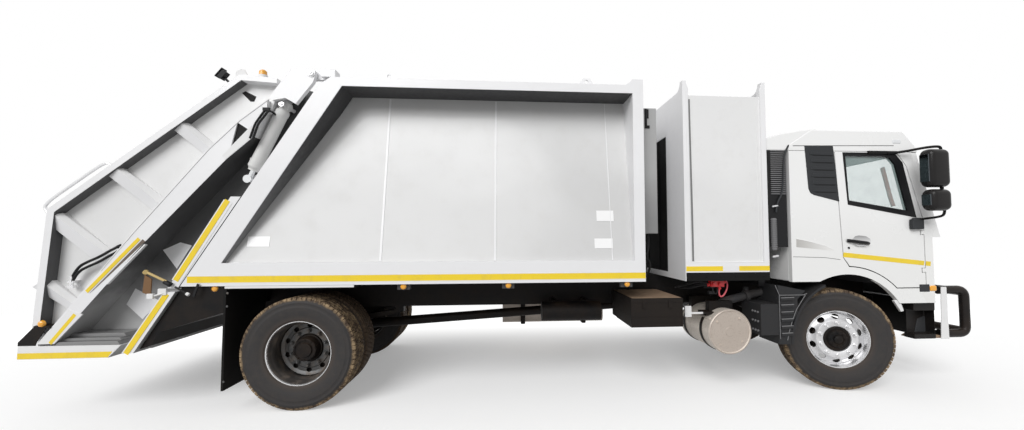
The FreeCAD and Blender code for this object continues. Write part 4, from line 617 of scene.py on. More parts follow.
flap_rubber = moulded("flap_rubber", (0.004, 0.004, 0.004), rough=0.7, dust=0.06)
guard_plastic = moulded("guard_plastic", (0.026, 0.027, 0.029), rough=0.5, dust=0.16)
trim_plastic = moulded("trim_plastic", (0.013, 0.013, 0.014), rough=0.45, dust=0.06)
edge_plastic = moulded("worn_plastic_edge", (0.2, 0.2, 0.205), rough=0.5, dust=0.2)
white_metal = chassis_paint("white_strip_paint", (0.78, 0.78, 0.78), dust=0.15, rough=0.35)
coat(flap_rubber, "rear_mudflaps")
coat(guard_plastic, "front_mudguards")

fit("mudflap_top_strip", white_metal,
    (plate, ((-0.64, 1.141), (0.51, 1.141), (0.51, 1.163), (-0.64, 1.163)), 0.003 - BODY_SIDE,
     0.04 - BODY_SIDE),
    bevel=0.002)
fit("mudflap_bolts", dark_steel_painted_shade,
    *[(bolt, x, z, -1.241, -1.246, 0.011, 6) for x, z in ((-0.615, 1.1), (-0.615, 0.98), (-0.625, 0.3))],
    bevel=0.001)

ribs, lips = [], []
for z in GUARD_LIPS:
    reach = 0.022 * (z - 0.59) / 0.36
    ribs.append((plate, ((4.752, z), (4.868 + reach, z + 0.004), (4.874 + reach, z + 0.03),
                         (4.752, z + 0.026)), -1.2, -1.212))
    lips.append((plate, ((4.754, z + 0.026), (4.872 + reach, z + 0.03), (4.872 + reach, z + 0.037),
                         (4.754, z + 0.033)), -1.2005, -1.2135))
for width, line in ((-0.006, ((4.742, 0.563), (4.742, 1.01), (4.7, 1.11))),
                    (0.007, ((4.742, 1.01), (5.0, 1.01), (5.04, 1.024))),
                    (0.007, ((4.812, 0.548), (4.834, 0.64), (4.868, 0.74), (4.918, 0.86), (5.02, 1.008)))):
    lips.append((band, line, width, -1.2005, -1.204))
fit("guard_ribs", guard_plastic, *ribs, bevel=0.004)
fit("guard_edges", edge_plastic, *lips, bevel=0.0012)
fit("cab_step_rungs", edge_plastic,
    *[(bent_at, y, ((4.53, z), (4.6, z + 0.004), (4.722, z - 0.016)), 0.011)
      for z in (0.64, 0.735, 0.83) for y in (-1.15, -1.105, -1.06)])

# --- Silencer: a rolled steel drum lying across the truck, primed a warm silver, its end cap held by
# four studs; its shell is painted paler than the cap as painted light. A saddle holds it to the frame,
# and a dark pipe with a clamp runs to the engine.
drum_x, drum_z, STUD_RING = 4.24, 0.63, 0.168
drum_middle = Matrix.Translation((drum_x, 0.0, drum_z))
# the drum's outline: back wall, shell, seam, shell, end rim and the cap let into it
DRUM = [(0.0, 0.45), (0.205, 0.45), (0.22, 0.458), (0.225, 0.472), (0.225, 0.7), (0.2268, 0.702),
        (0.2268, 0.716), (0.225, 0.718), (0.225, 1.098), (0.2285, 1.102), (0.23, 1.112), (0.23, 1.134),
        (0.2275, 1.144), (0.22, 1.149), (0.213, 1.147), (0.2095, 1.139), (0.208, 1.1375), (0.05, 1.1375),
        (0.048, 1.14), (0.0, 1.14)]

drum = Finish("silencer_silver_painted_light")
heat, scale = drum.noise(3.0, 5.0), drum.noise(70.0, 5.0, 0.65)
across = drum.facing("Y")
drum_stain = drum.spread(scale, 0.52, 0.75, 0.0, 0.45)
# painted light: the faces that don't look across the truck, the drum's shell, get paler colours than the end
# cap
shade = drum.mix(across * across < 0.36, drum.mix(heat, (0.5, 0.44, 0.39), (0.4, 0.34, 0.29)),
                 drum.mix(heat, (0.86, 0.79, 0.71), (0.7, 0.63, 0.55)))
silencer_silver_painted_light = drum.painted(drum.mix(drum_stain, shade, (0.23, 0.17, 0.13)), drum_stain * 0.3 + 0.42,
                               drum.bump(scale, 0.2, 0.0006), {"Metallic": drum_stain * -0.3 + 0.35})

studs = []
for quarter in range(4):
    turned = radians(52.0 + 90.0 * quarter)
    x, z = drum_x + STUD_RING * cos(turned), drum_z + STUD_RING * sin(turned)
    studs += [(bolt, x, z, -1.136, -1.146, 0.0125, 6), (bolt, x, z, -1.146, -1.152, 0.007, 12, 0.005)]
silencer_drum = fit(
    "silencer_drum", silencer_silver_painted_light,
    (added, lambda form: turn(form, DRUM, closed=False), drum_middle @ Matrix.Rotation(pi, 4, "Z")), *studs,
    (block, (-0.232, -1.09, -0.012), (-0.216, -0.48, 0.012),
     drum_middle @ Matrix.Rotation(radians(35.0), 4, "Y")),
    twice=False, bevel=0.0012, slot="tank_silver")
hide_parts("silencer")

saddles = [(block, (drum_x - 0.225, -1.06, drum_z + 0.165), (drum_x - 0.105, -0.9, drum_z + 0.19))]
for y in (-0.56, -0.96):
    hoop = [(0.226, y - 0.025), (0.232, y - 0.025), (0.232, y + 0.025), (0.226, y + 0.025)]
    saddles += [(added, lambda form, hoop=hoop: turn(form, hoop), drum_middle),
                (block, (drum_x - 0.15, y - 0.04, drum_z + 0.15), (drum_x + 0.11, y + 0.04, drum_z + 0.295))]
fit("silencer_saddles", black_paint, *saddles, twice=False, bevel=0.004)
fit("silencer_bracket", white_metal,
    (block, (drum_x - 0.42, -1.02, drum_z + 0.135), (drum_x - 0.35, -1.0, drum_z + 0.25)),
    (block, (drum_x - 0.355, -1.02, drum_z + 0.165), (drum_x - 0.19, -1.004, drum_z + 0.185)),
    twice=False, bevel=0.003)
clamp_low, clamp_high = Vector((4.545, -0.9, 0.96)), Vector((4.585, -0.9, 0.969))
fit("exhaust_pipe", chassis_paint("exhaust_pipe_paint", (0.05, 0.05, 0.052), dust=0.5, rough=0.55),
    (bent_at, -0.9, ((4.24, 0.8), (4.262, 0.885), (4.34, 0.915), (4.52, 0.955), (4.72, 1.0), (4.86, 1.03)),
     0.044, 5),
    (rod, clamp_low, clamp_high, 0.062, 28),
    (block, clamp_low + Vector((0.0, -0.02, 0.05)), clamp_high + Vector((0.0, 0.02, 0.09))),
    (bolt, clamp_low.x + 0.015, clamp_low.z + 0.078, -0.93, -0.87, 0.008, 6), twice=False, bevel=0.002)

# --- Battery box: a ribbed dark moulding on the frame's right, with a lid in two halves, strap
# latches, and a thick layer of brown dust on top.
low, high = box_at("battery_box")
battery_brown = moulded("battery_box_plastic", (0.01, 0.008, 0.007), rough=0.6, dust=0.16)
dry_dust = chassis_paint("dry_road_dust", (0.27, 0.19, 0.13), dust=0.7, rough=0.85)
coat(battery_brown, "battery_box")
latches = []
for share in (0.25, 0.75):
    x = low.x + (high.x - low.x) * share
    latches += [(block, (x - 0.016, low.y - 0.01, 0.88), (x + 0.016, low.y, 0.97)),
                (block, (x - 0.011, low.y - 0.014, 0.888), (x + 0.011, low.y - 0.008, 0.905))]
fit("battery_box_lid", battery_brown,
    (block, (low.x - 0.004, low.y - 0.004, high.z - 0.045), (high.x + 0.004, high.y, high.z + 0.001)),
    (block, (low.x - 0.003, low.y - 0.003, 0.795), (high.x + 0.003, high.y, 0.803)),
    (block, (low.x - 0.002, low.y - 0.003, low.z + 0.005), (low.x + 0.018, high.y, high.z - 0.045)),
    (block, (high.x - 0.016, low.y - 0.003, low.z + 0.005), (high.x + 0.003, high.y, high.z - 0.045)),
    *latches, twice=False, bevel=0.004)
fit("battery_box_dust", dry_dust,
    (block, (low.x + 0.01, low.y + 0.012, high.z), (high.x - 0.012, high.y - 0.02, high.z + 0.006)),
    twice=False, bevel=0.004)

# --- Hydraulic valve: a red valve block bolted under the bin, with two red caps and unions, black
# hoses, and a red return hose that hangs in a loop and goes back into the block.
valve_x, valve_y, valve_z = 4.135, -1.095, 1.12
red = Finish("valve_red")
red_film = red.spread(red.noise(60.0, 6.0), 0.5, 0.72, 0.0, 0.5)
valve_red = red.painted(red.mix(red_film, (0.62, 0.015, 0.02), (0.24, 0.07, 0.05)), red_film * 0.4 + 0.32,
                        more={"Coat Weight": 0.2})
pink = Finish("return_hose_red")
return_red = pink.painted(pink.mix(pink.noise(240.0), (0.62, 0.12, 0.14), (0.5, 0.06, 0.08)), 0.45)
hose_rubber = moulded("hose_rubber", (0.014, 0.014, 0.015), rough=0.45, dust=0.1)


def by_valve(*points):
    """Points that count from the valve block's middle."""
    return [(valve_x + x, y, valve_z + z) for x, y, z in points]


# caps and unions: X and Z of the start and of the end, and the radius
UNIONS = ((0.06, 0.0, 0.092, 0.022, 0.015), (-0.078, -0.008, -0.11, -0.014, 0.017),
          (0.02, -0.028, 0.028, -0.06, 0.016), (-0.052, 0.028, -0.052, 0.048, 0.019),
          (0.012, 0.028, 0.012, 0.048, 0.019))
unions = [(rod, *by_valve((x, valve_y, z), (far_x, valve_y, far_z)), radius)
          for x, z, far_x, far_z, radius in UNIONS]
fit("hydraulic_valve", valve_red, (block, *by_valve((-0.08, -1.13, -0.03), (0.062, -1.06, 0.03))), *unions,
    *[(bolt, valve_x + shift, valve_z, -1.128, -1.15, 0.02) for shift in (-0.052, 0.012)],
    twice=False, bevel=0.004)
fit("hydraulic_return_hose", return_red,
    (bent, by_valve((0.092, valve_y, 0.02), (0.108, -1.1, 0.03), (0.104, -1.105, -0.06),
                    (0.05, -1.105, -0.14), (0.01, -1.1, -0.12), (0.024, valve_y, -0.05)), 0.0085),
    twice=False)
fit("hydraulic_hoses", hose_rubber,
    *[(bent, by_valve((-0.1, valve_y, lift / 2 - 0.012), (-0.16, -1.085, lift), (-reach, -1.0, lift - 0.05),
                      (-reach - 0.05, -0.85, -0.06)), 0.009)
      for lift, reach in ((0.03, 0.3), (-0.012, 0.26), (0.01, 0.22))],
    (bent, by_valve((-0.06, -1.12, -0.03), (-0.07, -1.125, -0.09), (-0.01, -1.12, -0.11), (0.0, -1.1, -0.04)),
     0.007),
    (block, *by_valve((-0.1, -1.12, -0.105), (-0.04, -1.085, -0.075))),
    (block, *by_valve((-0.12, -1.06, -0.05), (0.1, -1.045, 0.044))), twice=False, bevel=0.002)

# --- Fuel tank: a pressed tank on the frame's left, held by two steel bands, with a filler cap
# near its front end.
low, high = box_at("fuel_tank")
# The tank takes the silencer's finish, so its faces that don't look across the truck are painted paler as
# painted light.
coat(silencer_silver_painted_light, "fuel_tank")
cap_x = high.x - 0.12
fit("fuel_tank_bands", black_paint,
    *[(block, (x - 0.03, low.y - 0.006, low.z - 0.006), (x + 0.03, high.y + 0.006, high.z + 0.006))
      for x in (low.x + (high.x - low.x) * share for share in (0.2, 0.8))], twice=False, bevel=0.012)
fit("fuel_filler_cap", trim_plastic,
    (rod, (cap_x, high.y - 0.12, high.z - 0.01), (cap_x, high.y - 0.12, high.z + 0.03), 0.052, 32),
    (block, (cap_x - 0.045, high.y - 0.13, high.z + 0.03), (cap_x + 0.045, high.y - 0.11, high.z + 0.045)),
    twice=False, bevel=0.004)

# --- Refuse body: folded steel sheet, sprayed light grey, with a frame of square tube around it. The
# sheet has slow hollows from welding and a film of dust; the underside of the top rail and the inner
# face of the rear post carry painted shade, near black above and paler towards the floor.
RAIL_UNDER, PANEL_FOOT, PANEL_LEAN = 3.06, 1.37, atan(0.28 / 1.695)


def body_paint(name, colour, painted_shade_low_colour, gloss=0.35, hollows=0.006, low_from=1.9, low_to=2.5, dust=0.1):
    """Sprayed enamel with painted light, paler high up than low down; orange peel, a faint film of dust."""
    finish = Finish(name)
    drift = finish.noise(0.9, 3.0)
    # painted light and shade: darker low, paler high, with the height of the change wandering slowly
    rise = finish.spread(finish.along("Z") + drift * 1.2 - 0.6, low_from, low_to, smooth=True)
    film = finish.spread(finish.noise(6.0, 9.0, 0.7), 0.5, 0.74)
    shade = finish.mix(film * dust, finish.mix(rise, painted_shade_low_colour, colour), (0.4, 0.37, 0.33))
    relief = drift * hollows + finish.noise(420.0, 1.0) * 0.00002
    return finish.painted(shade, film * (1.2 * dust) + drift * 0.1 + gloss, finish.bump(relief, 1.0, 1.0),
                          {"Coat Weight": 0.25, "Coat Roughness": 0.12})


# Where a paint's two colours differ, the first is painted light up high and the second painted shade low
# down.
panel_paint = body_paint("body_grey_paint", (0.64, 0.64, 0.638), (0.52, 0.52, 0.519), low_to=2.9)
web_paint = body_paint("web_grey_paint", (0.76, 0.76, 0.758), (0.7, 0.7, 0.698))
frame_paint = body_paint("body_frame_paint", (0.81, 0.81, 0.82), (0.77, 0.77, 0.78), hollows=0.001, dust=0.06)
# painted shade: a dark grey, darker still low down, for the ram housing's sides and the tailgate's sill
# channel
housing_shade = body_paint("ram_housing_painted_shade", (0.36, 0.36, 0.36), (0.2, 0.2, 0.2), low_from=1.6, low_to=2.4,
                           hollows=0.001)
blank_plate = body_paint("blank_plate_white", (0.86, 0.86, 0.86), (0.86, 0.86, 0.86), gloss=0.25, hollows=0.0,
                         dust=0.02)


def eased_copy(name, node, finishes, width, choose=None, slot="body_grey", body="chassis", segments=2,
               shape=None):
    """A CAD sheet-metal part again with its arrises rounded as a press brake or a grinder leaves them."""
    form = bmesh.new()
    form.from_mesh(nodes[node].data)
    bmesh.ops.remove_doubles(form, verts=form.verts, dist=2e-5)
    bmesh.ops.dissolve_limit(form, angle_limit=radians(0.6), use_dissolve_boundaries=False,
                             verts=form.verts, edges=form.edges)
    if shape:
        form = shape(form)
    for face in form.faces:
        face.material_index = choose(face) if choose else 0
    copy = piece(name, form, finishes[0], body, width, slot, 30.0, segments)
    for extra in finishes[1:]:
        copy.data.materials.append(extra)
    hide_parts(node)


eased_copy("body_side_frames", "body_sides", (frame_paint, panel_paint), 0.005,
           lambda face: int(0.08 < abs(face.normal.z) < 0.3 and abs(face.normal.y) > 0.9))
eased_copy("body_roof_sheet", "body_roof", (frame_paint,), 0.005)
# The ram housing's side faces take that painted shade.
eased_copy("body_front_sheet", "body_front_wall", (frame_paint, housing_shade), 0.005,
           lambda face: int(abs(face.normal.y) > 0.9 and abs(face.calc_center_median().y) < 1.2))

# painted shade: a near-black film on the rail's underside and the post's inner face, paler towards the floor
seal = Finish("painted_frame_shade")
shade_mottle = seal.noise(22.0, 6.0)
shade_fade = seal.spread(seal.along("Z") + shade_mottle * 0.3, 1.3, 2.75)
frame_shade_finish = seal.painted(seal.mix(shade_fade, (0.26, 0.26, 0.265), (0.04, 0.04, 0.042)), shade_mottle * 0.3 + 0.45)
post_foot, post_head, film = Vector((-0.674, 1.377)), Vector((0.365, 3.058)), Vector((0.0025, -0.001))
fit("painted_shade_under_rail_and_post", frame_shade_finish,
    (block, (post_head.x - 0.02, 0.004 - BODY_SIDE, RAIL_UNDER - 0.003),
     (3.21, 0.325 - BODY_SIDE, RAIL_UNDER)),
    (plate, (post_foot, post_head, post_head + film, post_foot + film), 0.004 - BODY_SIDE, 0.298 - BODY_SIDE))


def on_panel(form, x, low, length, half_wide, proud):
    """A strip that lies on the leaning side sheet, from a height up."""
    outer_y = 0.049 - BODY_SIDE + (low - PANEL_FOOT) * tan(PANEL_LEAN)
    block(form, (-half_wide, -proud, 0.0), (half_wide, 0.0, length),
          Matrix.Translation((x, outer_y, low)) @ Matrix.Rotation(-PANEL_LEAN, 4, "X"))


# The seam laps are proud strips in the paler frame paint, whose colour stands in for the highlight along each
# seam as painted highlight.
fit("side_sheet_laps", frame_paint,
    *[(on_panel, x, PANEL_FOOT + 0.01, 1.67 / cos(PANEL_LEAN), half_wide, 0.003)
      for x, half_wide in ((0.735, 0.01), (1.83, 0.01), (3.0, 0.004))], bevel=0.0012)
fit("blank_side_plates", blank_plate,
    *[(on_panel, x, z - high / 2, high, wide / 2, 0.0025) for x, z, wide, high in (
        (2.945, 1.825, 0.176, 0.11), (2.917, 1.545, 0.186, 0.1), (-0.398, 1.572, 0.2, 0.098))],
    twice=False, bevel=0.0008)

# --- Marker tape: retro-reflecting yellow tape stuck along the lower rails, posts and tailgate. It
# comes in lengths with a fine honeycomb in it, and dust lies on it in patches.
TAPE_PROUD = BODY_SIDE + 0.0012
tape = Finish("marker_tape_yellow")
comb = tape.add("ShaderNodeTexVoronoi", {"feature": "DISTANCE_TO_EDGE"},
                {"Vector": tape.place(), "Scale": 85.0},
                output="Distance")
tape_film = tape.spread(tape.noise(9.0, 7.0, 0.7), 0.5, 0.7, 0.0, 0.45)
shade = tape.mix(tape.spread(comb, 0.02, 0.09, 1.0, 0.0) * 0.18, (0.83, 0.6, 0.009), (0.66, 0.47, 0.04))
marker_tape = tape.painted(tape.mix(tape_film, shade, (0.56, 0.4, 0.06)), tape_film * 0.3 + 0.28,
                           more={"Coat Weight": 0.3})
fit("body_rail_tape", marker_tape, (band, ((-0.965, 1.255), (3.318, 1.255)), 0.058, -TAPE_PROUD, -BODY_SIDE))
fit("body_rail_tape_edges", frame_paint,
    *[(band, ((x, z), (3.319, z)), 0.0035, -TAPE_PROUD - 0.0006, -BODY_SIDE)
      for x, z in ((-0.97, 1.263), (-0.93, 1.1945))])

# --- Side marker lamps: amber lenses in grey rubber cups on small brackets under the lower rail.
LAMP_Z, LAMPS_X = 1.14, (-0.74, 0.96, 1.96, 3.14)


def lens_finish(name, colour, deep):
    """Moulded lens plastic with fine flutes."""
    finish = Finish(name)
    flutes = finish.add("ShaderNodeTexWave", {"bands_direction": "X"},
                        {"Vector": finish.place(), "Scale": 60.0})
    return finish.painted(finish.mix(flutes * 0.5, colour, deep), 0.18, finish.bump(flutes, 0.3, 0.001),
                          {"Coat Weight": 0.6})


amber = lens_finish("amber_lens", (0.9, 0.42, 0.015), (0.7, 0.24, 0.01))
cups, lenses = [], []
for x in LAMPS_X:
    cups += [(block, (x - 0.062, -1.205, 1.108), (x + 0.058, -1.15, 1.163)),
             (bolt, x, LAMP_Z, -1.205, -1.219, 0.036, 24, 0.031)]
    lenses += [(bolt, x, LAMP_Z, -1.217, -1.228, 0.029, 24, 0.026),
               (bolt, x, LAMP_Z, -1.228, -1.236, 0.026, 24, 0.014)]
fit("side_lamp_cups", moulded("lamp_cup_rubber", (0.075, 0.075, 0.078), rough=0.6, dust=0.3), *cups,
    bevel=0.004)
fit("side_lamp_lenses", amber, *lenses, bevel=0.002)

# --- Equipment bin: an open-topped box of bent sheet between the body and the cab. Its side sheet is
# set in behind a dark joint, and the rail carries two lengths of tape with bare white between.
HORN_FOOT, HORN_HALF, rear_x = 3.125, 1.185, 3.737


def bin_face(face):
    """Panel paint on the side sheets, frame paint on the rest."""
    return int(abs(face.normal.y) > 0.9 and 1.22 < abs(face.calc_center_median().y) < 1.242)


def horned(form):
    """Dips the tops of the front and rear sheets between the corner posts."""
    cutter = bmesh.new()
    for x in (corner.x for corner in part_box("equipment_bin")):
        made = block(cutter, (x - 0.075, -HORN_HALF, HORN_FOOT), (x + 0.075, HORN_HALF, 3.3))
        corners = [edge for edge in cutter.edges if set(edge.verts) <= set(made)
                   and all(abs(vert.co.z - HORN_FOOT) < 1e-4 for vert in edge.verts)
                   and abs(edge.verts[0].co.x - edge.verts[1].co.x) > 0.1]
        bmesh.ops.bevel(cutter, geom=corners, offset=0.085, segments=6, affect="EDGES", profile=0.5,
                        material=-1, clamp_overlap=True)
    return saw(form, cutter)


eased_copy("bin_sheets", "equipment_bin", (frame_paint, web_paint), 0.005, bin_face, shape=horned)
fit("bin_foot_strips", flap_rubber,
    (plate, ((3.736, 1.1655), (4.612, 1.1655), (4.612, 1.25), (3.736, 1.25)), -1.252, -1.249),
    *[(bolt, 3.8 + 0.15 * index, 1.208, -1.2515, -1.256, 0.009, 12, 0.006) for index in range(6)],
    bevel=0.001)
# painted shade: a black sheet, with ribs, on the bin's rear wall where the gap to the body lies in shade
fit("bin_rear_painted_shade", flap_rubber,
    (block, (rear_x, -0.8, 1.172), (rear_x + 0.006, 0.8, 2.735)),
    (block, (rear_x - 0.001, -1.215, 1.168), (rear_x + 0.006, 1.215, 1.235)),
    *[(block, (rear_x - 0.006, y - 0.02, 1.18), (rear_x + 0.001, y + 0.02, 2.725))
      for y in (-0.54, -0.18, 0.18, 0.54)], twice=False, bevel=0.001)
fit("bin_side_joint", chassis_paint("joint_shadow_grey", (0.2, 0.2, 0.2), 0.1),
    (plate, ((3.797, 3.02), (3.806, 1.362), (3.829, 1.362), (3.813, 3.02)), -1.236, -1.2345))
fit("bin_folds", white_metal,
    (band, ((3.83, 3.03), (3.836, 1.362)), 0.01, -1.24, -1.2345),
    (band, ((4.52, 3.05), (4.52, 1.362)), 0.006, -1.2385, -1.2345),
    (band, ((4.56, 3.12), (4.56, 1.362)), 0.006, -1.2535, -1.2495),
    (band, ((3.765, 3.12), (3.765, 1.362)), 0.006, -1.2535, -1.2495), bevel=0.002)
for name, finish, lengths in (
        ("bin_tape", marker_tape, ((3.736, 4.117, 1.264, 1.312), (4.289, 4.612, 1.264, 1.312))),
        ("bin_rail_white", white_metal, ((4.119, 4.287, 1.262, 1.314), (3.732, 4.613, 1.345, 1.354)))):
    fit(name, finish, *[(block, (rear, -TAPE_PROUD, foot), (front, -BODY_SIDE, head))
                        for rear, front, foot, head in lengths])

# --- Body front: a hinge strap on the ram housing, and the ejector hoses that come out below it and
# go into the floor.
hose_x, strap_x = box_at("body_front_wall")[1].x - 0.1, 3.395
fit("housing_hinge_strap", trim_plastic,
    (block, (strap_x - 0.012, -1.112, 2.745), (strap_x + 0.012, -1.1, 2.95)),
    (block, (strap_x + 0.012, -1.11, 2.745), (strap_x + 0.04, -1.1, 2.775)),
    (block, (strap_x + 0.012, -1.11, 2.85), (strap_x + 0.03, -1.1, 2.945)),
    (rod, (strap_x, -1.112, 2.76), (strap_x, -1.112, 2.94), 0.01), bevel=0.002)
fit("ejector_hoses", hose_rubber,
    *[(bent, ((x, -0.98, 1.645), (x, -0.99, 1.52 - drop), (x - 0.04, -1.0, 1.4), (x + 0.04, -0.96, 1.3),
              (x, -0.9, 1.18)), 0.012) for x, drop in ((hose_x, 0.0), (hose_x + 0.04, 0.03))], twice=False)

# --- Tailgate sides: welded box of sheet with a rolled outer flange, a slanting box beam that guides
# the packer, and folded hat ribs. The deep well below the beam and the beam's underside carry painted
# shade that pales towards the floor, and the inner faces of the flanges carry painted shade too.
FLANGE_NORMAL, BEAM_NORMAL = Vector((0.626, 0.0, -0.78)), Vector((0.75, 0.0, -0.661))
RIB_BLANK, RIB_WEB, PIN_SLIMMED = 1.205, 1.149, 0.03
# rib: foot line, ridge line and upper foot line, each from the outer flange to the beam
HAT_RIBS = (
    (((-1.195, 2.649), (-0.925, 2.41)), ((-1.093, 2.69), (-0.85, 2.455)), ((-1.062, 2.7), (-0.815, 2.49))),
    (((-1.725, 2.2), (-1.385, 1.895)), ((-1.625, 2.25), (-1.295, 1.94)), ((-1.588, 2.245), (-1.265, 1.985))),
    (((-2.185, 1.745), (-1.775, 1.352)), ((-2.111, 1.811), (-1.7, 1.455)), ((-2.085, 1.83), (-1.675, 1.48))),
    (((-2.27, 1.165), (-1.975, 0.925)), ((-2.19, 1.215), (-1.94, 0.985)), ((-2.15, 1.225), (-1.905, 1.01))))

# painted shade in the well and under the beam: near black high up, paler towards the floor
well = Finish("tailgate_well_grime")
shade_mottle = well.noise(4.0, 4.0)
well_fall = well.spread(well.along("Z") + shade_mottle * 0.5, 0.95, 1.75, 1.0, 0.0, smooth=True)
well_painted_shade = well.painted(well.mix(well_fall, (0.05, 0.05, 0.051), (0.4, 0.4, 0.4)), shade_mottle * 0.3 + 0.4)
# painted shade on the inner faces of the outer and rear flanges
flange_shade = chassis_paint("flange_shade", (0.1, 0.1, 0.102), dust=0.1, rough=0.5)


def tailgate_side_finish(face):
    """Panels, and painted shade in the well, under the beam and inside the flanges, apart from the frame."""
    centre, normal = face.calc_center_median(), face.normal
    x, out = centre.x - rear_axle_x, abs(centre.y)
    if abs(normal.y) > 0.9:
        return 1 if 1.1 < out < 1.2 else 2 if out < 1.0 else 0
    if normal.dot(FLANGE_NORMAL) > 0.97 and out > 1.14:
        return 3 if centre.z > 1.9 else 0
    if normal.dot(BEAM_NORMAL) > 0.9 and x < -0.5:
        return 2
    return 3 if normal.x > 0.97 and x < -2.05 and centre.z > 0.8 else 0


def slim_pins(form, joint_name, radius):
    """Turns the pins of a hinge down a little, so that they run free in their eyes."""
    centre = Vector(joints[joint_name]["pos_m"])
    for vert in form.verts:
        arm = Vector((vert.co.x - centre.x, 0.0, vert.co.z - centre.z))
        if abs(arm.length - radius) < 0.0006:
            vert.co -= arm * PIN_SLIMMED
    return form


def flat_ribs_open_arms(form):
    """Presses the rib blanks down to the web, and cuts the arms away round the ram's upper pin."""
    for vert in slim_pins(form, "tailgate_lift", 0.025).verts:
        if abs(abs(vert.co.y) - RIB_BLANK) < 0.002:
            vert.co.y *= RIB_WEB / RIB_BLANK
    opening = ((-0.3115, 2.78), (-0.3115, 2.936), (-0.262, 2.906), (-0.15, 2.931), (-0.05, 2.872),
               (-0.05, 2.78))
    return saw(form, worked([(plate, opening, near, near + 0.066) for near in (-1.262, 1.196)]))


eased_copy("tailgate_side_frames", "tailgate_sides", (frame_paint, web_paint, well_painted_shade, flange_shade),
           0.004, tailgate_side_finish, body="tailgate", shape=flat_ribs_open_arms)
coat(frame_paint, "tailgate_cover")
# The hopper floor takes the well's painted shade too.
coat(well_painted_shade, "hopper_floor")


def longer(start, end):
    """A line that runs on at both ends, in under the flange and the beam."""
    start, end = Vector(start), Vector(end)
    run = (end - start).normalized()
    return [start - run * 0.012, end + run * 0.055]


def rib_side(form, lower, upper, inner, depths):
    """One folded side of a hat rib, whose corners stand out by their own depths."""
    for vert, depth in zip(plate(form, lower + upper[::-1], inner, -1.176), depths):
        vert.co.y = depth


def gate(name, finish, *parts, **edges):
    """A piece on both sides of the tailgate."""
    return fit(name, finish, *parts, body="tailgate", **edges)


ribs = [[longer(*line) for line in lines] for lines in HAT_RIBS]
gate("tailgate_rib_faces", frame_paint,
     *[(rib_side, foot, ridge, -1.148, (-1.225, -1.1515, -1.176, -1.24)) for foot, ridge, _ in ribs],
     bevel=0.003)
gate("tailgate_rib_flanks", white_metal,
     *[(rib_side, ridge, upper, -1.1475, (-1.24, -1.176, -1.1505, -1.195)) for _, ridge, upper in ribs],
     bevel=0.0005)
gate("tailgate_bright_edges", white_metal,
     (band, ((-0.3, 2.918), (-0.56, 2.704), (-0.817, 2.437), (-1.451, 1.646), (-1.7, 1.318)),
      -0.01, -1.2545, -1.243),
     (plate, ((-0.447, 2.66), (-0.428, 2.56), (-0.664, 2.334), (-0.7, 2.372)), -1.2515, -1.24),
     (band, ((-1.64, 1.197), (-1.755, 1.118)), 0.02, -1.246, -1.215),
     (band, ((-1.33, 1.545), (-1.639, 1.19)), 0.013, -1.2515, -1.225),
     (plate, ((-2.343, 0.6555), (-1.5, 0.6525), (-1.56, 0.5985), (-2.343, 0.5985)), -1.2512, -1.24),
     (plate, ((-1.94, 0.972), (-1.828, 0.928), (-2.05, 0.672), (-2.19, 0.672)), -1.2525, -1.24),
     (band, ((-2.105, 1.848), (-1.14, 2.622)), 0.004, -1.252, -1.2485), bevel=0.002)
gate("beam_rubbing_strip", chassis_paint("rubbed_brown_paint", (0.155, 0.125, 0.105), dust=0.4, rough=0.6),
     (plate, ((-1.3325, 1.576), (-1.356, 1.596), (-1.783, 1.112), (-1.748, 1.142)), -1.2518, -1.244),
     bevel=0.001)
gate("well_gussets", frame_paint, *[(plate, outline, -0.974, -0.968) for outline in (
    ((-1.238, 1.565), (-1.131, 1.534), (-1.261, 1.308), (-1.394, 1.491)),
    ((-1.629, 1.122), (-1.403, 0.999), (-1.552, 0.825), (-1.704, 0.971)))], bevel=0.002)
# The sill channel's tiers take the ram housing's painted shade, a darker grey.
gate("sill_channel", housing_shade,
     *[(plate, ((-2.06, low), (end, low), (end - 0.02, high), (-2.04, high)), -reach, -0.969)
       for low, high, reach, end in ((0.652, 0.684, 1.238, -1.52), (0.684, 0.708, 1.205, -1.532),
                                     (0.708, 0.738, 1.15, -1.544))], bevel=0.004)
gate("tailgate_dark_fittings", black_paint,
     (plate, ((-2.343, 0.66), (-2.343, 0.692), (-2.232, 0.812), (-2.206, 0.838), (-2.11, 0.838),
              (-2.128, 0.8), (-2.19, 0.69), (-2.2, 0.66)), -1.2535, -1.246),
     (block, (-2.215, -1.262, 0.812), (-2.08, -1.16, 0.834)),
     (block, (-1.898, -1.246, 0.975), (-1.835, -1.2, 1.062)),
     (plate, ((-0.6, 3.0), (-0.568, 3.018), (-0.468, 2.968), (-0.486, 2.918), (-0.52, 2.918)),
      -1.154, -1.149),
     # a black triangle of painted shade, set back in the pocket in the beam
     (plate, ((-0.572, 2.687), (-0.625, 2.453), (-0.478, 2.624)), -1.236, -1.232),
     (bolt, -2.03, 1.95, -1.158, -1.15, 0.012), (bolt, -2.108, 1.882, -1.158, -1.15, 0.012), bevel=0.003)
gate("tailgate_tape", marker_tape,
     *[(band, line, wide, -1.2536, -1.25) for line, wide in (
         (((-1.816, 1.138), (-1.397, 1.612)), 0.03), (((-2.094, 0.686), (-1.902, 0.938)), 0.03),
         (((-1.081, 1.232), (-0.655, 1.967)), 0.046), (((-1.476, 0.585), (-1.152, 1.112)), 0.046))],
     (plate, ((-2.343, 0.5455), (-2.343, 0.596), (-1.57, 0.596), (-1.604, 0.5455)), -1.2512, -1.25))
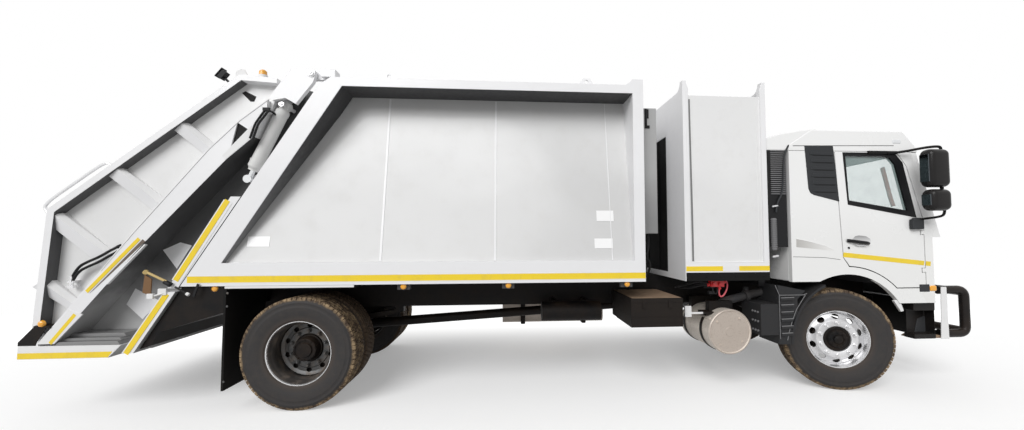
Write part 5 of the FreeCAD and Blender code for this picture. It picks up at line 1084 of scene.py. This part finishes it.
gate("front_flange_paint", white_metal, *[(band, line, wide, -1.253, -1.25) for line, wide in (
    (((-1.094, 1.228), (-0.668, 1.963)), 0.013), (((-1.03, 1.202), (-0.603, 1.936)), 0.012),
    (((-1.49, 0.58), (-1.166, 1.107)), 0.013))])
gate("tailgate_hand_rails", bright_steel,
     (bent_at, -1.205, ((-2.17, 1.8), (-2.232, 1.865), (-2.226, 1.925), (-1.99, 2.112), (-1.765, 2.29),
                        (-1.7, 2.3), (-1.655, 2.235)), 0.013, 4))

# --- Tailgate locks and pipes: a plated lever and a worn stay plate on a clamp screw, and the two
# black hoses that cross from the beam to the packer's feed pipes.
gate("lock_levers", chassis_paint("plated_lever", (0.6, 0.45, 0.2), dust=0.35, rough=0.35),
     (rod, (-1.29, -1.285, 1.304), (-1.12, -1.275, 1.214), 0.011),
     (rod, (-1.3, -1.27, 1.302), (-1.28, -1.3, 1.3), 0.02, 24), bevel=0.002)
gate("lock_stay_plates", chassis_paint("worn_stay_paint", (0.2, 0.115, 0.06), dust=0.5, rough=0.6),
     (plate, ((-1.303, 1.278), (-1.244, 1.238), (-1.247, 1.088), (-1.317, 1.118)), -1.28, -1.268),
     bevel=0.002)
gate("lock_keepers", white_metal,
     (block, (-1.28, -1.284, 1.06), (-1.225, -1.255, 1.108)),
     (rod, (-1.225, -1.27, 1.085), (-1.15, -1.255, 1.11), 0.008),
     (block, (-1.205, -1.262, 1.09), (-1.13, -1.24, 1.15)),
     (rod, (-0.95, -1.272, 1.106), (-0.925, -1.272, 1.091), 0.015, 24), bevel=0.005)
gate("lock_collars", trim_plastic,
     (rod, (-1.049, -1.272, 1.166), (-0.945, -1.272, 1.103), 0.008),
     (plate, ((-0.862, 1.193), (-0.844, 1.186), (-0.88, 1.07), (-0.902, 1.078)), -1.274, -1.262),
     (rod, (-1.14, -1.272, 1.214), (-1.095, -1.272, 1.188), 0.02, 28),
     (rod, (-1.095, -1.272, 1.188), (-1.086, -1.272, 1.183), 0.025, 6), bevel=0.003)
gate("packer_hoses", hose_rubber,
     *[(bent_at, -1.212, [(x, z - drop) for x, z in (
         (-1.6, 1.525), (-1.65, 1.5), (-1.75, 1.435), (-1.83, 1.4), (-1.93, 1.345), (-1.965, 1.255))], 0.0115)
       for drop in (0.0, 0.045)],
     *[(rod, (-1.6, -1.212, z), (-1.57, -1.212, z + 0.015), 0.016, 6) for z in (1.525, 1.48)])
ends = []
for z in (1.235, 1.19):
    ends += [(rod, (-1.968, -1.212, z + 0.03), (-1.972, -1.212, z - 0.012), 0.015, 6),
             (block, (-1.998, -1.222, z - 0.03), (-1.948, -1.148, z - 0.01))]
gate("packer_hose_ends", bright_steel, *ends, bevel=0.002)

# --- Lift cylinders: grey-painted barrels with a gland at the lower end, chromed rods, and a pair of
# short hoses that end in steel unions. Both rams hang from pins on the tailgate's arms.
ram_grey = chassis_paint("ram_grey_paint", (0.68, 0.68, 0.67), dust=0.12, rough=0.32)
chrome = Finish("hard_chrome")
ram_chrome = chrome.painted((0.72, 0.73, 0.74), chrome.noise(300.0) * 0.1 + 0.12, more={"Metallic": 1.0})
coat(ram_grey, "lift_barrel_right", "lift_barrel_left")
coat(ram_chrome, "lift_rod_right", "lift_rod_left")


def fit_each(name, finish, *parts, body="door", **edges):
    """A piece on the right and its mirror image on the left, each riding on its own side's body."""
    made = []
    for hand in ("right", "left"):
        form = worked(parts)
        if hand == "left":
            mirrored(form, copy=False)
        made.append(piece(f"{name}_{hand}", form, finish, f"{body}_{hand}", **edges))
    return made


pin = Vector(joints["lift_barrel_right_swing"]["pos_m"])
pin = Vector((pin.x - rear_axle_x, -1.13, pin.z))
run = (Vector((-0.526, pin.y, 2.17)) - pin).normalized()
ports = [pin + run * along + Vector((-0.05, -0.012, -0.018)) for along in (0.13, 0.56)]
fit_each("lift_barrel_sleeve", ram_grey,
         *[(rod, pin + run * start, pin + run * end, *radii) for start, end, *radii in (
             (0.045, 0.66, 0.0595, 40), (0.6, 0.655, 0.063, 40), (0.655, 0.676, 0.06, 40, 0.048),
             (0.06, 0.1, 0.063, 40))],
         *[(block, port - Vector((0.02, 0.018, 0.018)), port + Vector((0.012, 0.018, 0.018)))
           for port in ports],
         body="lift_barrel", bevel=0.002)
hoses = []
for line in (((-0.3, 2.778), (-0.374, 2.674), (-0.412, 2.55)),
             ((-0.329, 2.788), (-0.403, 2.673), (-0.437, 2.56))):
    head, knee, foot = (Vector((x, -1.2685, z)) for x, z in line)
    hoses += [(bent, (head, head.lerp(knee, 0.6), knee, knee.lerp(foot, 0.5), foot), 0.0105),
              (rod, head, head + Vector((0.02, 0.0, 0.024)), 0.0105, 6),
              (rod, foot, foot - Vector((0.01, 0.0, 0.028)), 0.0105, 6)]
fit_each("lift_hoses", hose_rubber, *hoses, (block, (-0.335, -1.282, 2.795), (-0.275, -1.258, 2.825)),
         (bolt, -0.29, 2.805, -1.2, -1.262, 0.009), (rod, (-0.29, -1.2, 2.805), (-0.262, -1.18, 2.78), 0.009),
         body="lift_barrel", bevel=0.001)
nuts = [(bolt, -0.205, 2.884, -0.972, -1.203, 0.018, 28)]
for x, z, near, wide in ((0.08, 3.178, -1.258, 0.028), (-0.205, 2.884, -1.203, 0.026)):
    nuts += [(bolt, x, z, near + 0.003, near - 0.01, wide, 28),
             (bolt, x, z, near - 0.01, near - 0.024, wide * 0.55, 6)]
gate("hinge_pin_nuts", bright_steel, *nuts, bevel=0.002)

# --- Tailgate lamps: amber marker lamps on the corners, a small beacon, a work lamp on a bracket and
# two lifting lugs on top, and stop lamps with a blank number plate at the rear.
marker_x, marker_z, beacon_x, beacon_y = -2.15, 0.852, -0.395, -1.18
red_lens = lens_finish("red_lens", (0.55, 0.01, 0.008), (0.34, 0.004, 0.004))
clear_lens = lens_finish("clear_lens", (0.8, 0.81, 0.82), (0.55, 0.56, 0.58))


def upright(form, low, high, *sizes):
    """A round foot or lens of the beacon."""
    rod(form, (beacon_x, beacon_y, low), (beacon_x, beacon_y, high), *sizes)


gate("tailgate_amber_lamps", amber,
     (bolt, marker_x, marker_z, -1.253, -1.272, 0.032, 24, 0.024),
     (bolt, marker_x, marker_z, -1.272, -1.279, 0.024, 24, 0.01),
     (upright, 3.168, 3.205, 0.036, 24, 0.033), (upright, 3.205, 3.219, 0.033, 24, 0.018), bevel=0.002)
gate("tailgate_top_lugs", white_metal, (upright, 3.128, 3.168, 0.04, 24),
     (plate, ((-0.64, 3.095), (-0.56, 3.145), (-0.52, 3.14), (-0.56, 3.215), (-0.6, 3.222), (-0.64, 3.19)),
      -1.19, -1.178), bevel=0.003)
tilt = Matrix.Translation((-0.748, -1.19, 3.15)) @ Matrix.Rotation(radians(38.0), 4, "Y")
gate("tailgate_work_lamps", trim_plastic,
     (block, (-0.03, -0.03, -0.04), (0.022, 0.03, 0.045), tilt),
     (block, (-0.04, -0.038, -0.05), (-0.03, 0.038, 0.055), tilt),
     (rod, (-0.74, -1.19, 3.13), (-0.668, -1.19, 3.06), 0.011),
     (block, (-0.7, -1.205, 3.05), (-0.648, -1.175, 3.08)), bevel=0.005)
gate("work_lamp_lenses", clear_lens, (block, (-0.0425, -0.03, -0.042), (-0.0405, 0.03, 0.047), tilt),
     bevel=0.0008)


def round_lamp(form, place, *sizes):
    """A round lens, moved by a matrix."""
    bmesh.ops.transform(form, matrix=place, verts=rod(form, *sizes))


post_face = Matrix.Translation((-2.24, 0.0, 0.81)) @ Matrix.Rotation(atan(0.073 / 1.058), 4, "Y")
gate("rear_lamp_housings", trim_plastic, (block, (-0.006, -1.165, 0.27), (0.004, -1.055, 0.64), post_face),
     bevel=0.003)
for name, finish, heights in (("rear_stop_lamps", red_lens, (0.5, 0.41)), ("rear_turn_lamps", amber, (0.59,)),
                              ("rear_reverse_lamps", clear_lens, (0.32,))):
    gate(name, finish, *[(round_lamp, post_face, (-0.004, -1.11, z), (-0.016, -1.11, z), 0.041, 28, 0.036)
                         for z in heights], bevel=0.0025)
gate("rear_blank_plate", blank_plate, (block, (-0.004, -1.235, 0.06), (0.003, -0.99, 0.175), post_face),
     twice=False, bevel=0.0012)

# --- Packer: a carriage that slides between the beams and a curved blade hinged under it, worn to
# bare steel where refuse rubs.
worn = Finish("refuse_worn_steel")
scrape = worn.noise(9.0, 8.0, 0.7, worn.add("ShaderNodeMapping", sockets={"Vector": worn.place(),
                                                                         "Scale": (1.0, 1.0, 14.0)}))
bare = worn.spread(scrape, 0.48, 0.6)
worn_steel = worn.painted(worn.mix(bare, (0.34, 0.34, 0.33), (0.2, 0.17, 0.15)), bare * -0.2 + 0.6,
                          worn.bump(scrape, 0.4, 0.002), {"Metallic": bare * 0.6})
coat(worn_steel, "packer_carriage")
eased_copy("packer_blade_plates", "packer_blade", (worn_steel,), 0.0015, body="packer_blade",
           shape=lambda form: slim_pins(form, "blade_swing", 0.03))

# --- Cab shell: pressed steel panels in white enamel, spot-welded, with wide rounded edges on the
# roof and nose. The inside is lined with dark grey moulded trim and cloth.
CAB_SIDE = 1.2
cab_white = body_paint("cab_white_paint", (0.84, 0.84, 0.835), (0.8, 0.8, 0.79), gloss=0.22, hollows=0.0,
                       low_from=1.4, low_to=2.0, dust=0.015)
lining = moulded("cab_lining", (0.06, 0.06, 0.063), rough=0.75, dust=0.05, grain=0.001)
under_shade = moulded("cab_underside", (0.012, 0.012, 0.012), rough=0.7, dust=0.15)
seam_black = chassis_paint("seam_sealer", (0.1, 0.1, 0.1), dust=0.1)
cab_middle = sum(corner.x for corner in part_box("cab_sides")) / 2


def cab_face(face):
    """Lining on the faces that look into the cab, near black on low faces that look down."""
    centre, normal = face.calc_center_median(), face.normal
    if abs(normal.y) > 0.9:
        return 1 if centre.y * normal.y < 0 else 0
    if normal.z < -0.9:
        return 2 if centre.z < 1.3 else 1
    if centre.z < 1.3 and normal.z > 0.5:
        return 1
    inward = normal.x * (cab_middle - centre.x) > 0.4 and abs(centre.y) < 1.14
    return 1 if inward else 0


for name, node, width, segments in (
        ("cab_side_panels", "cab_sides", 0.01, 3), ("cab_roof_panel", "cab_roof", 0.045, 5),
        ("cab_rear_panel", "cab_back_wall", 0.012, 2), ("cab_nose_panel", "cab_front_panel", 0.022, 4),
        ("door_panel_right", "door_right", 0.005, 2), ("door_panel_left", "door_left", 0.005, 2)):
    eased_copy(name, node, (cab_white, lining, under_shade), width, cab_face, "cab_white",
               node if name.startswith("door") else "chassis", segments)
coat(lining, "cab_floor")
fit("cab_side_seams", seam_black,
    *[(band, line, wide, -CAB_SIDE - 0.001, 0.004 - CAB_SIDE) for line, wide in (
    (((4.94, 2.566), (6.08, 2.584)), 0.007), (((4.905, 1.402), (5.25, 1.392), (5.425, 1.37)), 0.0045))])

scoop = Finish("scoop_shade")
scoop_fade = scoop.spread(scoop.along("X"), rear_axle_x + 4.95, rear_axle_x + 5.33)
scoop_shade = scoop.painted(scoop.mix(scoop_fade, (0.46, 0.45, 0.43), (0.78, 0.775, 0.76)),
                            scoop.noise(30.0) * 0.2 + 0.4)
fit("door_step_scoops", scoop_shade,
    (plate, ((4.945, 1.583), (5.06, 1.56), (5.25, 1.512), (5.34, 1.472), (5.332, 1.462), (5.18, 1.478),
             (4.943, 1.5)), -CAB_SIDE - 0.001, 0.003 - CAB_SIDE))
fit("door_step_lips", cab_white,
    (band, ((4.943, 1.592), (5.06, 1.57), (5.255, 1.52), (5.35, 1.476)), 0.009, -CAB_SIDE - 0.0025,
     0.003 - CAB_SIDE), bevel=0.001)

# --- Quarter panels: charcoal grained mouldings behind the doors, clipped to the shell, each with
# pressed louvres and a strip of painted shade under every one, where its slot is.
charcoal = moulded("charcoal_moulding", (0.033, 0.035, 0.038), rough=0.45, dust=0.12)
louvres, slots = [], []
for index in range(6):
    z, start, end = 2.505 - 0.078 * index, 5.105 + 0.004 * index, 5.385 + 0.005 * index
    louvres.append((plate, ((start + 0.03, z), (end, z - 0.012), (end, z - 0.04), (start + 0.01, z - 0.036)),
                    -CAB_SIDE - 0.011, -CAB_SIDE - 0.002))
    slots.append((plate, ((start + 0.045, z - 0.0405), (end - 0.015, z - 0.042), (end - 0.015, z - 0.0485),
                          (start + 0.045, z - 0.047)), -CAB_SIDE - 0.0065, -CAB_SIDE))
fit("quarter_louvres", charcoal,
    (plate, ((5.067, 2.562), (5.384, 2.566), (5.398, 2.42), (5.434, 1.977), (5.15, 2.046), (5.115, 2.068),
             (5.096, 2.11)), -CAB_SIDE - 0.006, 0.004 - CAB_SIDE), *louvres, bevel=0.0035, segments=3)
# painted shade: a near-black strip under each louvre
fit("quarter_slots", under_shade, *slots)

# --- Door windows: tinted glass in a black rubber surround, broad at the front where the quarter
# light would be, with a sill seal along the foot. The windscreen is the same tinted glass.
GLASS_LINE = ((5.52, 2.462), (5.946, 2.462), (6.03, 2.445), (6.085, 2.38), (6.205, 1.884), (5.545, 1.99))
SEAL_LINE = ((5.491, 2.501), (6.0, 2.503), (6.1, 2.482), (6.172, 2.4), (6.306, 1.808), (5.53, 1.944))
glass = Finish("tinted_glass")
smear = glass.spread(glass.noise(5.0, 6.0), 0.45, 0.75)
tinted_glass = glass.painted(glass.mix(smear, (0.72, 0.9, 0.88), (0.72, 0.86, 0.84)), smear * 0.1 + 0.03,
                             more={"Alpha": smear * 0.05 + 0.17, "IOR": 1.5})
window_rubber = moulded("window_rubber", (0.008, 0.008, 0.009), rough=0.35, dust=0.03)
coat(tinted_glass, "windscreen")


def surround(form, outer, inner, near, far):
    """A flat ring between two outlines with as many corners, in side view, given a thickness."""
    outer, inner = ([form.verts.new((x, near, z)) for x, z in outline] for outline in (outer, inner))
    thickened(form, [form.faces.new((outer[i - 1], outer[i], inner[i], inner[i - 1]))
                     for i in range(len(outer))], far - near)


fit_each("window_seal", window_rubber, (surround, SEAL_LINE, GLASS_LINE, -CAB_SIDE - 0.004, 0.045 - CAB_SIDE),
         bevel=0.0025)
fit_each("window_glass", tinted_glass, (plate, GLASS_LINE, 0.016 - CAB_SIDE, 0.02 - CAB_SIDE))

# --- Door fittings: a pull handle over a pressed finger cup with a lock barrel under it, and marker
# tape that runs on over the cab's corner.
cup = Finish("finger_cup_shade")
cup_fade = cup.spread(cup.along("Z"), 1.555, 1.615, 1.0, 0.0)
cup_shade = cup.painted(cup.mix(cup_fade, (0.3, 0.3, 0.3), (0.7, 0.7, 0.7)), cup_fade * 0.1 + 0.3)
fit_each("finger_cup", cup_shade,
         (plate, ((5.555, 1.57), (5.6, 1.612), (5.64, 1.62), (5.72, 1.612), (5.765, 1.585), (5.775, 1.56),
                  (5.755, 1.525), (5.7, 1.508), (5.6, 1.516), (5.555, 1.54)),
          -CAB_SIDE - 0.0012, 0.002 - CAB_SIDE))
fit_each("door_handle", window_rubber,
         (bent, [(x, -CAB_SIDE - depth, z) for x, z, depth in (
             (5.502, 1.566, 0.004), (5.54, 1.562, 0.026), (5.64, 1.548, 0.032), (5.72, 1.54, 0.026),
             (5.742, 1.536, 0.004))], 0.017, 4), (bolt, 5.522, 1.489, -CAB_SIDE, -CAB_SIDE - 0.006, 0.011))
fit_each("door_handle_lip", bright_steel,
         (band, ((5.585, 1.517), (5.64, 1.509), (5.71, 1.506)), -0.008, -CAB_SIDE - 0.02, -CAB_SIDE - 0.01),
         bevel=0.002)
fit_each("door_tape", marker_tape,
         (band, ((5.462, 1.442), (6.373, 1.348)), 0.048, -CAB_SIDE - 0.0012, 0.001 - CAB_SIDE))
fit("cab_corner_tape", marker_tape,
    (band, ((6.392, 1.346), (6.448, 1.34)), 0.048, -CAB_SIDE - 0.0012, 0.001 - CAB_SIDE))

# --- Mirrors: two moulded heads, a tall one and a wide-angle one, clamped to a bent steel tube that
# is carried by the door. The glass faces the driver.
# a head's low and high X, then low and high Z
HEADS, HEAD_FAR, HEAD_MIDDLE, HEAD_NEAR = (
    (6.192, 6.428, 2.108, 2.498), (6.198, 6.43, 1.868, 2.088)), -1.478, -1.407, -1.335
mirror = Finish("mirror_glass")
mirror_silver = mirror.painted((0.1, 0.11, 0.12), mirror.noise(14.0) * 0.08 + 0.02, more={"Metallic": 1.0})
mirror_plastic = moulded("mirror_housing", (0.016, 0.015, 0.015), rough=0.22, dust=0.05, grain=0.0001)


def rounded(form, low, high, width, segments):
    """A block with all its edges rounded."""
    made = set(block(form, low, high))
    bmesh.ops.bevel(form, geom=[edge for edge in form.edges if made.issuperset(edge.verts)], offset=width,
                    segments=segments, affect="EDGES", profile=0.5, material=-1)


for housing in fit_each("mirror_housings", mirror_plastic,
                        *[(rounded, (low_x, HEAD_FAR, low_z), (high_x, HEAD_NEAR, high_z), 0.058, 6)
                          for low_x, high_x, low_z, high_z in HEADS], smooth=60.0):
    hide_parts(housing.name.replace("mirror_housings", "mirrors"))
fit_each("mirror_glasses", mirror_silver,
         *[(block, (low_x - 0.0015, HEAD_MIDDLE - 0.045, low_z + 0.055),
            (low_x + 0.01, HEAD_MIDDLE + 0.045, high_z - 0.055)) for low_x, high_x, low_z, high_z in HEADS],
         bevel=0.001)
fit_each("mirror_arms", black_paint,
         (bent, ((5.99, -1.215, 2.492), (6.11, -1.235, 2.5), (6.3, -1.33, 2.536), (6.385, -1.385, 2.538),
                 (6.412, -1.39, 2.52), (6.412, -1.39, 2.44)), 0.0135),
         (bent_at, -1.4, ((6.38, 2.13), (6.392, 2.1), (6.38, 2.06)), 0.016),
         (bent, ((6.3, -1.215, 1.786), (6.34, -1.27, 1.796), (6.4, -1.36, 1.81), (6.42, -1.388, 1.835),
                 (6.416, -1.392, 1.9)), 0.0125),
         (block, (5.772, -1.222, 2.486), (6.1, -1.2, 2.518)), bevel=0.004)
fit_each("mirror_brackets", charcoal, (block, (6.212, -1.25, 1.684), (6.345, -1.202, 1.79)),
         (block, (6.24, -1.236, 1.78), (6.34, -1.202, 1.806)), bevel=0.012, segments=4)

# --- Seats: moulded pans with sewn cloth pads over foam, which swell between their seams.
SEAT_LEAN = radians(-9.5)
cloth = Finish("seat_cloth")
warp, weft = (cloth.add("ShaderNodeTexWave", {"bands_direction": way},
                        {"Vector": cloth.place(), "Scale": 210.0})
              for way in "XY")
soil, weave = cloth.noise(8.0, 5.0), warp * weft
shade = cloth.mix(weave, (0.04, 0.042, 0.05), (0.095, 0.098, 0.11))
seat_cloth = cloth.painted(cloth.mix(soil * 0.25, shade, (0.2, 0.15, 0.12)), soil * 0.1 + 0.82,
                           cloth.bump(weave, 0.5, 0.0008), {"Sheen Weight": 0.4})


def swollen(thing, cap):
    """Blows a pad up like foam under its cover: remeshed, pressed out as cloth, held to a limit."""
    remesh = thing.modifiers.new("remesh", "REMESH")
    remesh.mode, remesh.voxel_size = "VOXEL", 0.006
    start = as_shown(thing)
    thing.modifiers.clear()
    thing.data = start
    rest = [vert.co.copy() for vert in start.vertices]
    cover = thing.modifiers.new("pad", "CLOTH")
    cover.settings.use_pressure = True
    cover.settings.uniform_pressure_force = 4.0
    cover.settings.effector_weights.gravity = 0.0
    cover.settings.quality = 4
    cover.point_cache.frame_end = 20
    for step in range(1, 21):
        scene.frame_set(step)
    moved = as_shown(thing)
    thing.modifiers.clear()
    thing.data = moved
    for vert, place in zip(moved.vertices, rest):
        shift = vert.co - place
        if shift.length > cap:
            vert.co = place + shift.normalized() * cap
    moved.shade_smooth()
    scene.frame_set(1)
    smooth = thing.modifiers.new("smooth", "SUBSURF")
    smooth.levels = smooth.render_levels = 1


def pad(name, low, high, cap, lean=None):
    """A foam pad between two corners, its edges well rounded, leaned back about its foot."""
    form = bmesh.new()
    rounded(form, low, high, 0.032, 4)
    bmesh.ops.subdivide_edges(form, edges=[edge for edge in form.edges if edge.calc_length() > 0.2], cuts=6,
                              use_grid_fill=True)
    if lean:
        bmesh.ops.transform(form, matrix=lean, verts=form.verts)
    thing = piece(name, form, seat_cloth, slot="seat_cloth", smooth=80.0)
    swollen(thing, cap)


seat_low, seat_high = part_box("cab_seats")
seat_x = seat_low.x
for hand, y in (("right", 0.26 - seat_high.y), ("left", seat_high.y - 0.26)):
    foot = Vector((seat_x + 0.15, y, 1.64))
    back = Matrix.Translation(foot) @ Matrix.Rotation(SEAT_LEAN, 4, "Y")
    lean = back @ Matrix.Translation(-foot)
    pad(f"seat_cushion_{hand}", (seat_x + 0.13, y - 0.225, 1.53), (seat_x + 0.595, y + 0.225, 1.625), 0.022)
    pad(f"seat_back_{hand}", (seat_x + 0.09, y - 0.2, 1.64), (seat_x + 0.165, y + 0.2, 2.04), 0.018, lean)
    pad(f"seat_head_{hand}", (seat_x + 0.098, y - 0.12, 2.075), (seat_x + 0.16, y + 0.12, 2.195), 0.012, lean)
    form = bmesh.new()
    block(form, (seat_x + 0.12, y - 0.21, 1.252), (seat_x + 0.6, y + 0.21, 1.4))
    block(form, (seat_x + 0.115, y - 0.235, 1.44), (seat_x + 0.61, y + 0.235, 1.52))
    block(form, (seat_x + 0.17, y - 0.12, 1.395), (seat_x + 0.54, y + 0.12, 1.445))
    block(form, (-0.105, -0.19, -0.09), (-0.078, 0.19, 0.36), back)
    for shift in (-0.06, 0.06):
        rod(form, back @ Vector((-0.03, shift, 0.36)), back @ Vector((-0.03, shift, 0.46)), 0.006)
    pan = piece(f"seat_pan_{hand}", form, trim_plastic, bevel=0.01, segments=3)
    if hand == "right":
        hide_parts("cab_seats")

# --- Cab fittings: a soft moulded dashboard with a hood over the dials and vents, a steering wheel of
# black plastic, seat belts, and brown coated grab rails on the screen pillars.
soft_plastic = moulded("dashboard_skin", (0.035, 0.034, 0.034), rough=0.55, dust=0.1, grain=0.0008)
coat(soft_plastic, "dashboard")
coat(trim_plastic, "steering_wheel")
low, high = box_at("dashboard")
fit("dashboard_hood", trim_plastic, (block, (high.x - 0.25, -0.78, 1.64), (high.x - 0.08, -0.34, 1.712)),
    *[(block, (low.x + 0.19, y - 0.08, 1.588), (low.x + 0.215, y + 0.08, 1.628))
      for y in (-1.0, -0.18, 0.24, 0.9)],
    twice=False, bevel=0.014, segments=3)
fit("seat_belts", window_rubber,
    (bent, ((5.36, -1.12, 2.44), (5.37, -1.118, 2.1), (5.33, -1.08, 1.7), (5.3, -0.85, 1.5)), 0.01))
fit("grab_rails", chassis_paint("brown_grab_rail", (0.26, 0.055, 0.035), dust=0.2),
    (bent, ((6.06, -1.08, 2.36), (6.1, -1.06, 2.28), (6.165, -1.055, 2.02), (6.18, -1.07, 1.94)), 0.021))

# --- Air intake: a ribbed black stack behind the cab with a grid of fins at its top, a flexible
# rubber hose down to the engine, a duct over the roof, and clipped pipes.
low, high = box_at("air_intake")
hose_x, hose_y = low.x + 0.055, low.y - 0.006
coat(trim_plastic, "air_intake")
fit("intake_fins", edge_plastic,
    *[(block, (low.x + 0.04, low.y - 0.01, z), (high.x + 0.002, low.y + 0.002, z + 0.009))
      for z in (2.05 + 0.0215 * index for index in range(22))], twice=False, bevel=0.0015)
fit("intake_flexible_hose", edge_plastic,
    *[(rod, (hose_x, hose_y, z), (hose_x, hose_y, z + 0.011), 0.031, 28)
      for z in (1.48 + 0.02 * index for index in range(16))],
    (bent_at, low.y - 0.004, ((hose_x, 1.47), (hose_x, 1.62), (hose_x, 1.8)), 0.026),
    twice=False, bevel=0.002)
fit("intake_pipes", charcoal,
    *[(bent, [(low.x + x, y, z) for x, y, z in points], radius) for points, radius in (
        (((0.075, -1.15, 2.6), (0.3, -1.06, 2.66), (0.42, -1.0, 2.742), (0.74, -0.96, 2.768),
          (0.8, -0.95, 2.742)), 0.01),
        (((0.33, -1.15, 2.64), (0.225, -1.205, 2.56), (0.17, -1.212, 2.42), (0.16, -1.205, 2.06),
          (0.09, -1.205, 1.96), (0.08, -1.205, 1.86)), 0.009))], twice=False)
fit("roof_duct", cab_white,
    (plate, ((4.637, 2.512), (4.637, 2.64), (4.811, 2.69), (5.03, 2.728), (5.2, 2.752), (5.23, 2.7),
             (4.886, 2.56), (4.886, 2.512)), -1.196, -0.34), twice=False, bevel=0.012, segments=3)
fit("intake_clips", silver,
    *[(rod, (low.x + x, -1.2, z), (low.x + x + 0.06, -1.206, z + 0.01), wide, 12)
      for x, z, wide in ((0.04, 1.92, 0.01), (0.03, 1.4, 0.012))], twice=False, bevel=0.002)
fit("roof_marker_lamps", clear_lens, (block, (6.06, -1.205, 2.6), (6.165, -1.12, 2.652)),
    bevel=0.014, segments=4)

# --- Front bumper: a moulded and pressed steel bumper with a step at each end, dusty on its tread, and
# dark corner plates. The indicator lamps sit above it, at the corners of the nose.
bumper_front = box_at("front_bumper")[1].x
bumper_plastic = moulded("bumper_moulding", (0.012, 0.011, 0.011), rough=0.3, dust=0.15, grain=0.0002)
eased_copy("bumper_shell", "front_bumper", (bumper_plastic,), 0.014, slot="black_plastic", segments=3)
fit("bumper_treads", dry_dust,
    (plate, ((6.3, 0.514), (6.61, 0.514), (6.61, 0.545), (6.36, 0.545)), -1.128, -0.96), bevel=0.008)
fit("bumper_step_plates", charcoal,
    (plate, ((6.43, 0.548), (6.61, 0.548), (6.61, 0.718), (6.54, 0.728), (6.47, 0.7)), -1.01, -0.99),
    bevel=0.006)
fit("nose_corner_shades", scoop_shade,
    (plate, ((6.325, 1.012), (6.478, 1.012), (6.455, 0.908), (6.392, 0.906)), -CAB_SIDE - 0.0012,
     0.002 - CAB_SIDE))
fit("indicator_housings", charcoal,
    (block, (6.305, -CAB_SIDE - 0.006, 1.022), (6.42, 0.01 - CAB_SIDE, 1.1)), bevel=0.006, segments=3)
fit("indicator_lenses", amber,
    (block, (6.42, -CAB_SIDE - 0.01, 1.026), (6.5, 0.06 - CAB_SIDE, 1.088)), bevel=0.016, segments=4)
fit("arch_brackets", white_metal,
    (plate, ((6.02, 0.93), (6.085, 0.95), (6.13, 0.822), (6.098, 0.812)), -1.19, -1.16), bevel=0.006)

# --- Bull bar: bent heavy tube welded to white side plates, bolted to the chassis horns.
bar_paint = chassis_paint("bull_bar_paint", (0.013, 0.012, 0.012), dust=0.35, rough=0.3)
rear, front = (corner.x for corner in box_at("bull_bar"))
tube, bend, hoop_y = 0.045, 0.17, 1.073
front, upper, lower = front - tube, 1.068 - tube, 0.507 + tube
hoop = ((rear, upper), (front - bend, upper), (front, upper), (front, upper - bend),
        (front, lower + bend), (front, lower), (front - bend, lower), (rear, lower))
bars = [(rod, (front - bend / 8, -hoop_y, z), (front - bend / 8, hoop_y, z), tube - 0.001, 32)
        for z in (upper - bend / 8, lower + bend / 8)]
for side in (-1.0, 1.0):
    bars += [(bent_at, side * hoop_y, hoop, tube, 6),
             (block, (rear, side * 0.9 - 0.012, 0.505), (rear + 0.07, side * 0.9 + 0.012, 1.08)),
             (block, (rear + 0.02, side * 0.99 - 0.1, 0.52), (rear + 0.07, side * 0.99 + 0.1, 0.57))]
bull_bar = fit("bull_bar_tubes", bar_paint, *bars, twice=False, bevel=0.002, slot="chassis_black")
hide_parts("bull_bar")
fit("bull_bar_side_plates", white_metal,
    (plate, ((6.586, 0.512), (6.68, 0.512), (6.672, 1.064), (6.612, 1.064)), -1.152, -1.142), bevel=0.003)

# --- Nose: a black grille of five bars between two lamp units, wipers at the foot of the windscreen,
# and a blank number plate. It carries no badge.
nose_x, lamp_z = box_at("cab_front_panel")[1].x, 0.79
fit("grille_back", under_shade, (block, (nose_x - 0.02, -0.86, 1.13), (nose_x + 0.003, 0.86, 1.48)),
    twice=False, bevel=0.006)
fit("grille_bars", charcoal,
    *[(block, (nose_x + 0.001, -0.84, z), (nose_x + 0.02, 0.84, z + 0.034))
      for z in (1.15 + 0.068 * index for index in range(5))], twice=False, bevel=0.007, segments=3)
fit("front_blank_plate", blank_plate,
    (block, (bumper_front - 0.004, -0.26, 0.64), (bumper_front + 0.003, 0.26, 0.76)), twice=False,
    bevel=0.001)
lamps, bezels = [], []
for y, wide in ((-0.74, 0.085), (-0.53, 0.07)):
    lamps.append((rod, (bumper_front - 0.02, y, lamp_z), (bumper_front + 0.004, y, lamp_z), wide, 40,
                  wide * 0.9))
    bezels.append((rod, (bumper_front - 0.03, y, lamp_z), (bumper_front + 0.001, y, lamp_z), wide + 0.012,
                   40))
fit("head_lamp_bezels", bright_steel, *bezels, bevel=0.002)
fit("head_lamp_lenses", clear_lens, *lamps, bevel=0.003, segments=3)
low, high = box_at("windscreen")
lean = (high.x - low.x) / (high.z - low.z)
wipers = []
for pivot in (-0.9, -0.26, 0.38):
    foot, middle, near_end, far_end = (
        Vector((high.x + ahead - rise * lean, pivot + across, low.z + rise)) for ahead, across, rise in (
            (0.004 - 0.02 * lean, 0.0, -0.02), (0.022, 0.33, 0.11), (0.01, 0.05, 0.045), (0.01, 0.6, 0.175)))
    wipers += [(bent, (foot, foot.lerp(middle, 0.5) + Vector((0.012, 0.0, 0.006)), middle), 0.008),
               (rod, near_end, far_end, 0.007, 12),
               (rod, foot - Vector((0.02, 0.0, 0.0)), foot + Vector((0.012, 0.0, 0.0)), 0.02)]
fit("wipers", window_rubber, *wipers, twice=False)
